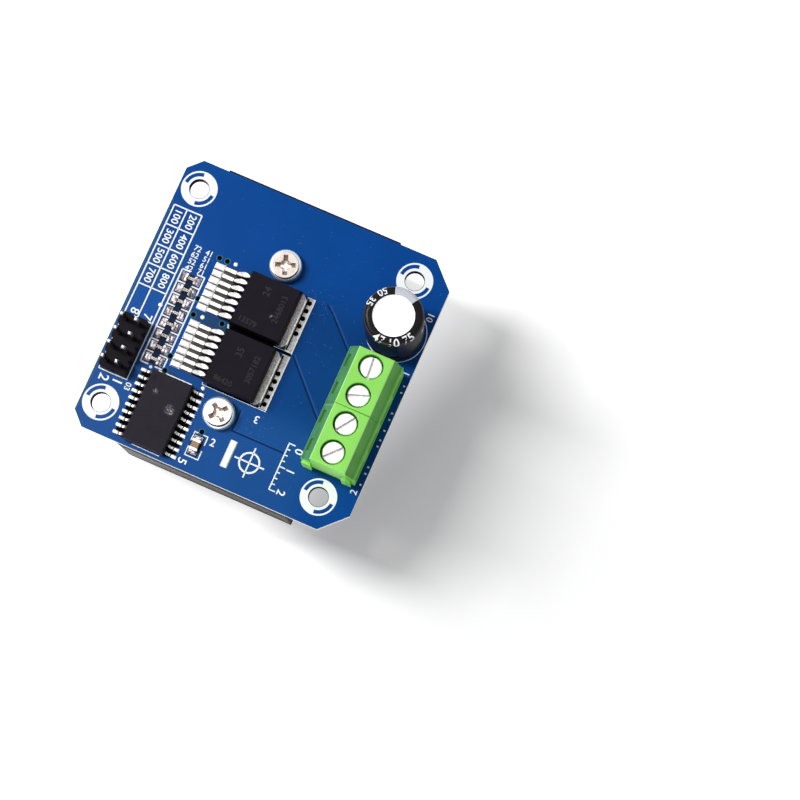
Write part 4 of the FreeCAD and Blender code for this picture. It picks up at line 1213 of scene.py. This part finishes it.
def lowered_sleeve():
    """The capacitor's sleeve, a hair lower, so that the print on it stays inside the CAD's height."""
    piece = softened("capacitor_sleeve", 0.02)
    share = (SLEEVE_TOP - TOP) / (SLEEVE_HIGH.z - TOP)
    for vertex in piece.data.vertices:
        vertex.co.z = (TOP + (vertex.co.z / MM - TOP) * share) * MM


def solder_cone(x, y, radius, height, neck):
    """A turned fillet of solder with a hollow flank, below the board."""
    profile = [(radius, -0.0), (radius * 0.97, -0.10), (radius * 0.72, -height * 0.24),
               (neck + (radius - neck) * 0.28, -height * 0.48), (neck * 1.12, -height * 0.80),
               (neck * 0.9, -height * 0.97), (0.0, -height)]
    curve = bpy.data.meshes.new("flank")
    curve.from_pydata([((x + r) * MM, y * MM, z * MM) for r, z in profile],
                      [(i, i + 1) for i in range(len(profile) - 1)], [])
    piece = placed("flank", curve)
    opened(piece)
    bpy.ops.mesh.spin(steps=28, angle=2 * math.pi, center=(x * MM, y * MM, 0), axis=(0, 0, 1))
    bpy.ops.mesh.select_all(action="SELECT")
    bpy.ops.mesh.remove_doubles(threshold=0.001 * MM)
    bpy.ops.mesh.select_all(action="DESELECT")
    bpy.ops.mesh.select_non_manifold()
    bpy.ops.mesh.fill()
    bpy.ops.mesh.select_all(action="SELECT")
    bpy.ops.mesh.normals_make_consistent(inside=False)
    return smooth(piece, 60)


def solder_joints():
    terminal = [solder_cone(SCREW_X, y, 1.45, 1.15, 0.65) for y in POLE_YS]
    finished(joined("terminal_joints", terminal), "solder", replaces=("terminal_solder",))
    small = [solder_cone(*middle_mm(f"header_pin_{i}")[:2], 0.85, 0.9, 0.46) for i in range(1, 9)]
    small += [solder_cone(*middle_mm(f"capacitor_lead_{i}")[:2], 1.0, 1.0, 0.45) for i in (1, 2)]
    finished(joined("small_joints", small), "solder", replaces=("underside_solder",))


print_top()
print_underside()
for chip in (1, 2):
    driver_pads(chip)
    tab_land(chip)
for make in (logic_pads, resistor_pads, ceramic_pads, vias, chip_marks, resistor_numbers, sleeve_numbers,
             lowered_sleeve, solder_joints):
    make()

softened("circuit_board", 0.05)
softened("heatsink", 0.12)
for chip in (1, 2):
    softened(f"driver_{chip}_body", 0.10)
    softened(f"driver_{chip}_tab", 0.05, finish="tab_silver")
    softened(f"driver_{chip}_leads", 0.06, finish="driver_leads")
    seam_y = box_mm("terminal_housing_1")[0].y if chip == 1 else box_mm("terminal_housing_2")[1].y
    housing = softened(f"terminal_housing_{chip}", 0.12, flat_y=seam_y)
    if chip == 1:
        for vertex in housing.data.vertices:
            if abs(vertex.co.y / MM - seam_y) < 0.02:
                vertex.co.y = (box_mm("terminal_housing_2")[1].y + 0.004) * MM
softened("logic_chip_body", 0.06)
softened("header_base", 0.08)


# Floor, light and camera
def floor():
    start_clean()
    bpy.ops.mesh.primitive_plane_add(size=3.0, location=(0, 0, (SINK_LOW.z - 0.01) * MM))
    piece = added("floor")
    finish = Finish("floor_paper", Roughness=0.9, Specular_IOR_Level=0.1)
    grain = finish.noise(0.02, 2.0)
    finish.colour(finish.tint((0.93, 0.93, 0.935), 0.99 + grain * 0.02))
    seen = finish.node("ShaderNodeLightPath", {}, {}, "Is Camera Ray")
    # Painted light: seen by the camera the floor also glows, more on its open sides and far out than beside
    # the object's right, so the shadow shows only there
    ahead = (0.0 - finish.y).rise(24.0, 30.0) * finish.x.fall(12.0, 30.0)
    open_side = (finish.x - finish.y * 0.35).fall(14.0, 32.0).most(ahead)
    open_side = open_side.most(finish.radius_from(40.0, -10.0).rise(20.0, 85.0))
    lift = finish.node("ShaderNodeEmission", {}, {"Color": (1.0, 1.0, 1.0), "Strength": 0.56})
    both = finish.node("ShaderNodeAddShader", {}, {0: finish.lit, 1: lift})
    finish.shown_as(seen * (0.24 + open_side * 0.76), finish.lit, both)
    piece.data.materials.append(finish.material)


def surroundings():
    """White room: even light on the object, and pure white where the camera, metal or glass sees it."""
    world = bpy.data.worlds.new("white_room")
    bpy.context.scene.world = world
    world.use_nodes = True
    tree = world.node_tree
    place = add_node(tree, "ShaderNodeTexCoord", {}, {}, "Generated")
    height, across = [add_node(tree, "ShaderNodeSeparateXYZ", {}, {0: place}, axis) for axis in "ZX"]
    camera, mirror, clear = [add_node(tree, "ShaderNodeLightPath", {}, {}, f"Is {ray} Ray")
                             for ray in ("Camera", "Glossy", "Transmission")]
    overhead = ((height - 0.80) / 0.17).held()
    glossy = 1.0 - overhead * 0.25
    even = (0.18 + height * 0.22 - across * 0.05).most(0.06)
    strength = even + mirror * (glossy - even)
    strength = strength + camera.most(clear) * (1.0 - strength)
    background = tree.nodes["Background"]
    connect(tree, background.inputs["Color"], (1.0, 1.0, 1.0))
    connect(tree, background.inputs["Strength"], strength)


def softbox(name, place, aim, width, height, power):
    """A rectangular lamp, placed and aimed in millimetres."""
    lamp = bpy.data.lights.new(name, "AREA")
    lamp.shape = "RECTANGLE"
    lamp.size = width * MM
    lamp.size_y = height * MM
    lamp.energy = power
    fixture = placed(name, lamp)
    fixture.location = Vector(place) * MM
    direction = (Vector(aim) - Vector(place)).normalized()
    fixture.rotation_euler = direction.to_track_quat("-Z", "Y").to_euler()


def camera():
    data = bpy.data.cameras.new("camera")
    data.lens = CAMERA_LENS
    data.sensor_width = SENSOR_WIDTH
    data.clip_start = 0.01
    data.clip_end = 20.0
    view = placed("camera", data)
    view.location = Vector(CAMERA_PLACE) * MM
    view.rotation_euler = [math.radians(angle) for angle in CAMERA_TURN_DEG]
    bpy.context.scene.camera = view


floor()
surroundings()
softbox("key", (-261.0, 6.0, 450.0), (0.0, 0.0, 0.0), 100.0, 240.0, 2.25)
softbox("fill", (70.0, -420.0, 40.0), (0.0, 0.0, -4.0), 220.0, 50.0, 0.55)
camera()
bpy.context.scene.view_settings.view_transform = "Standard"
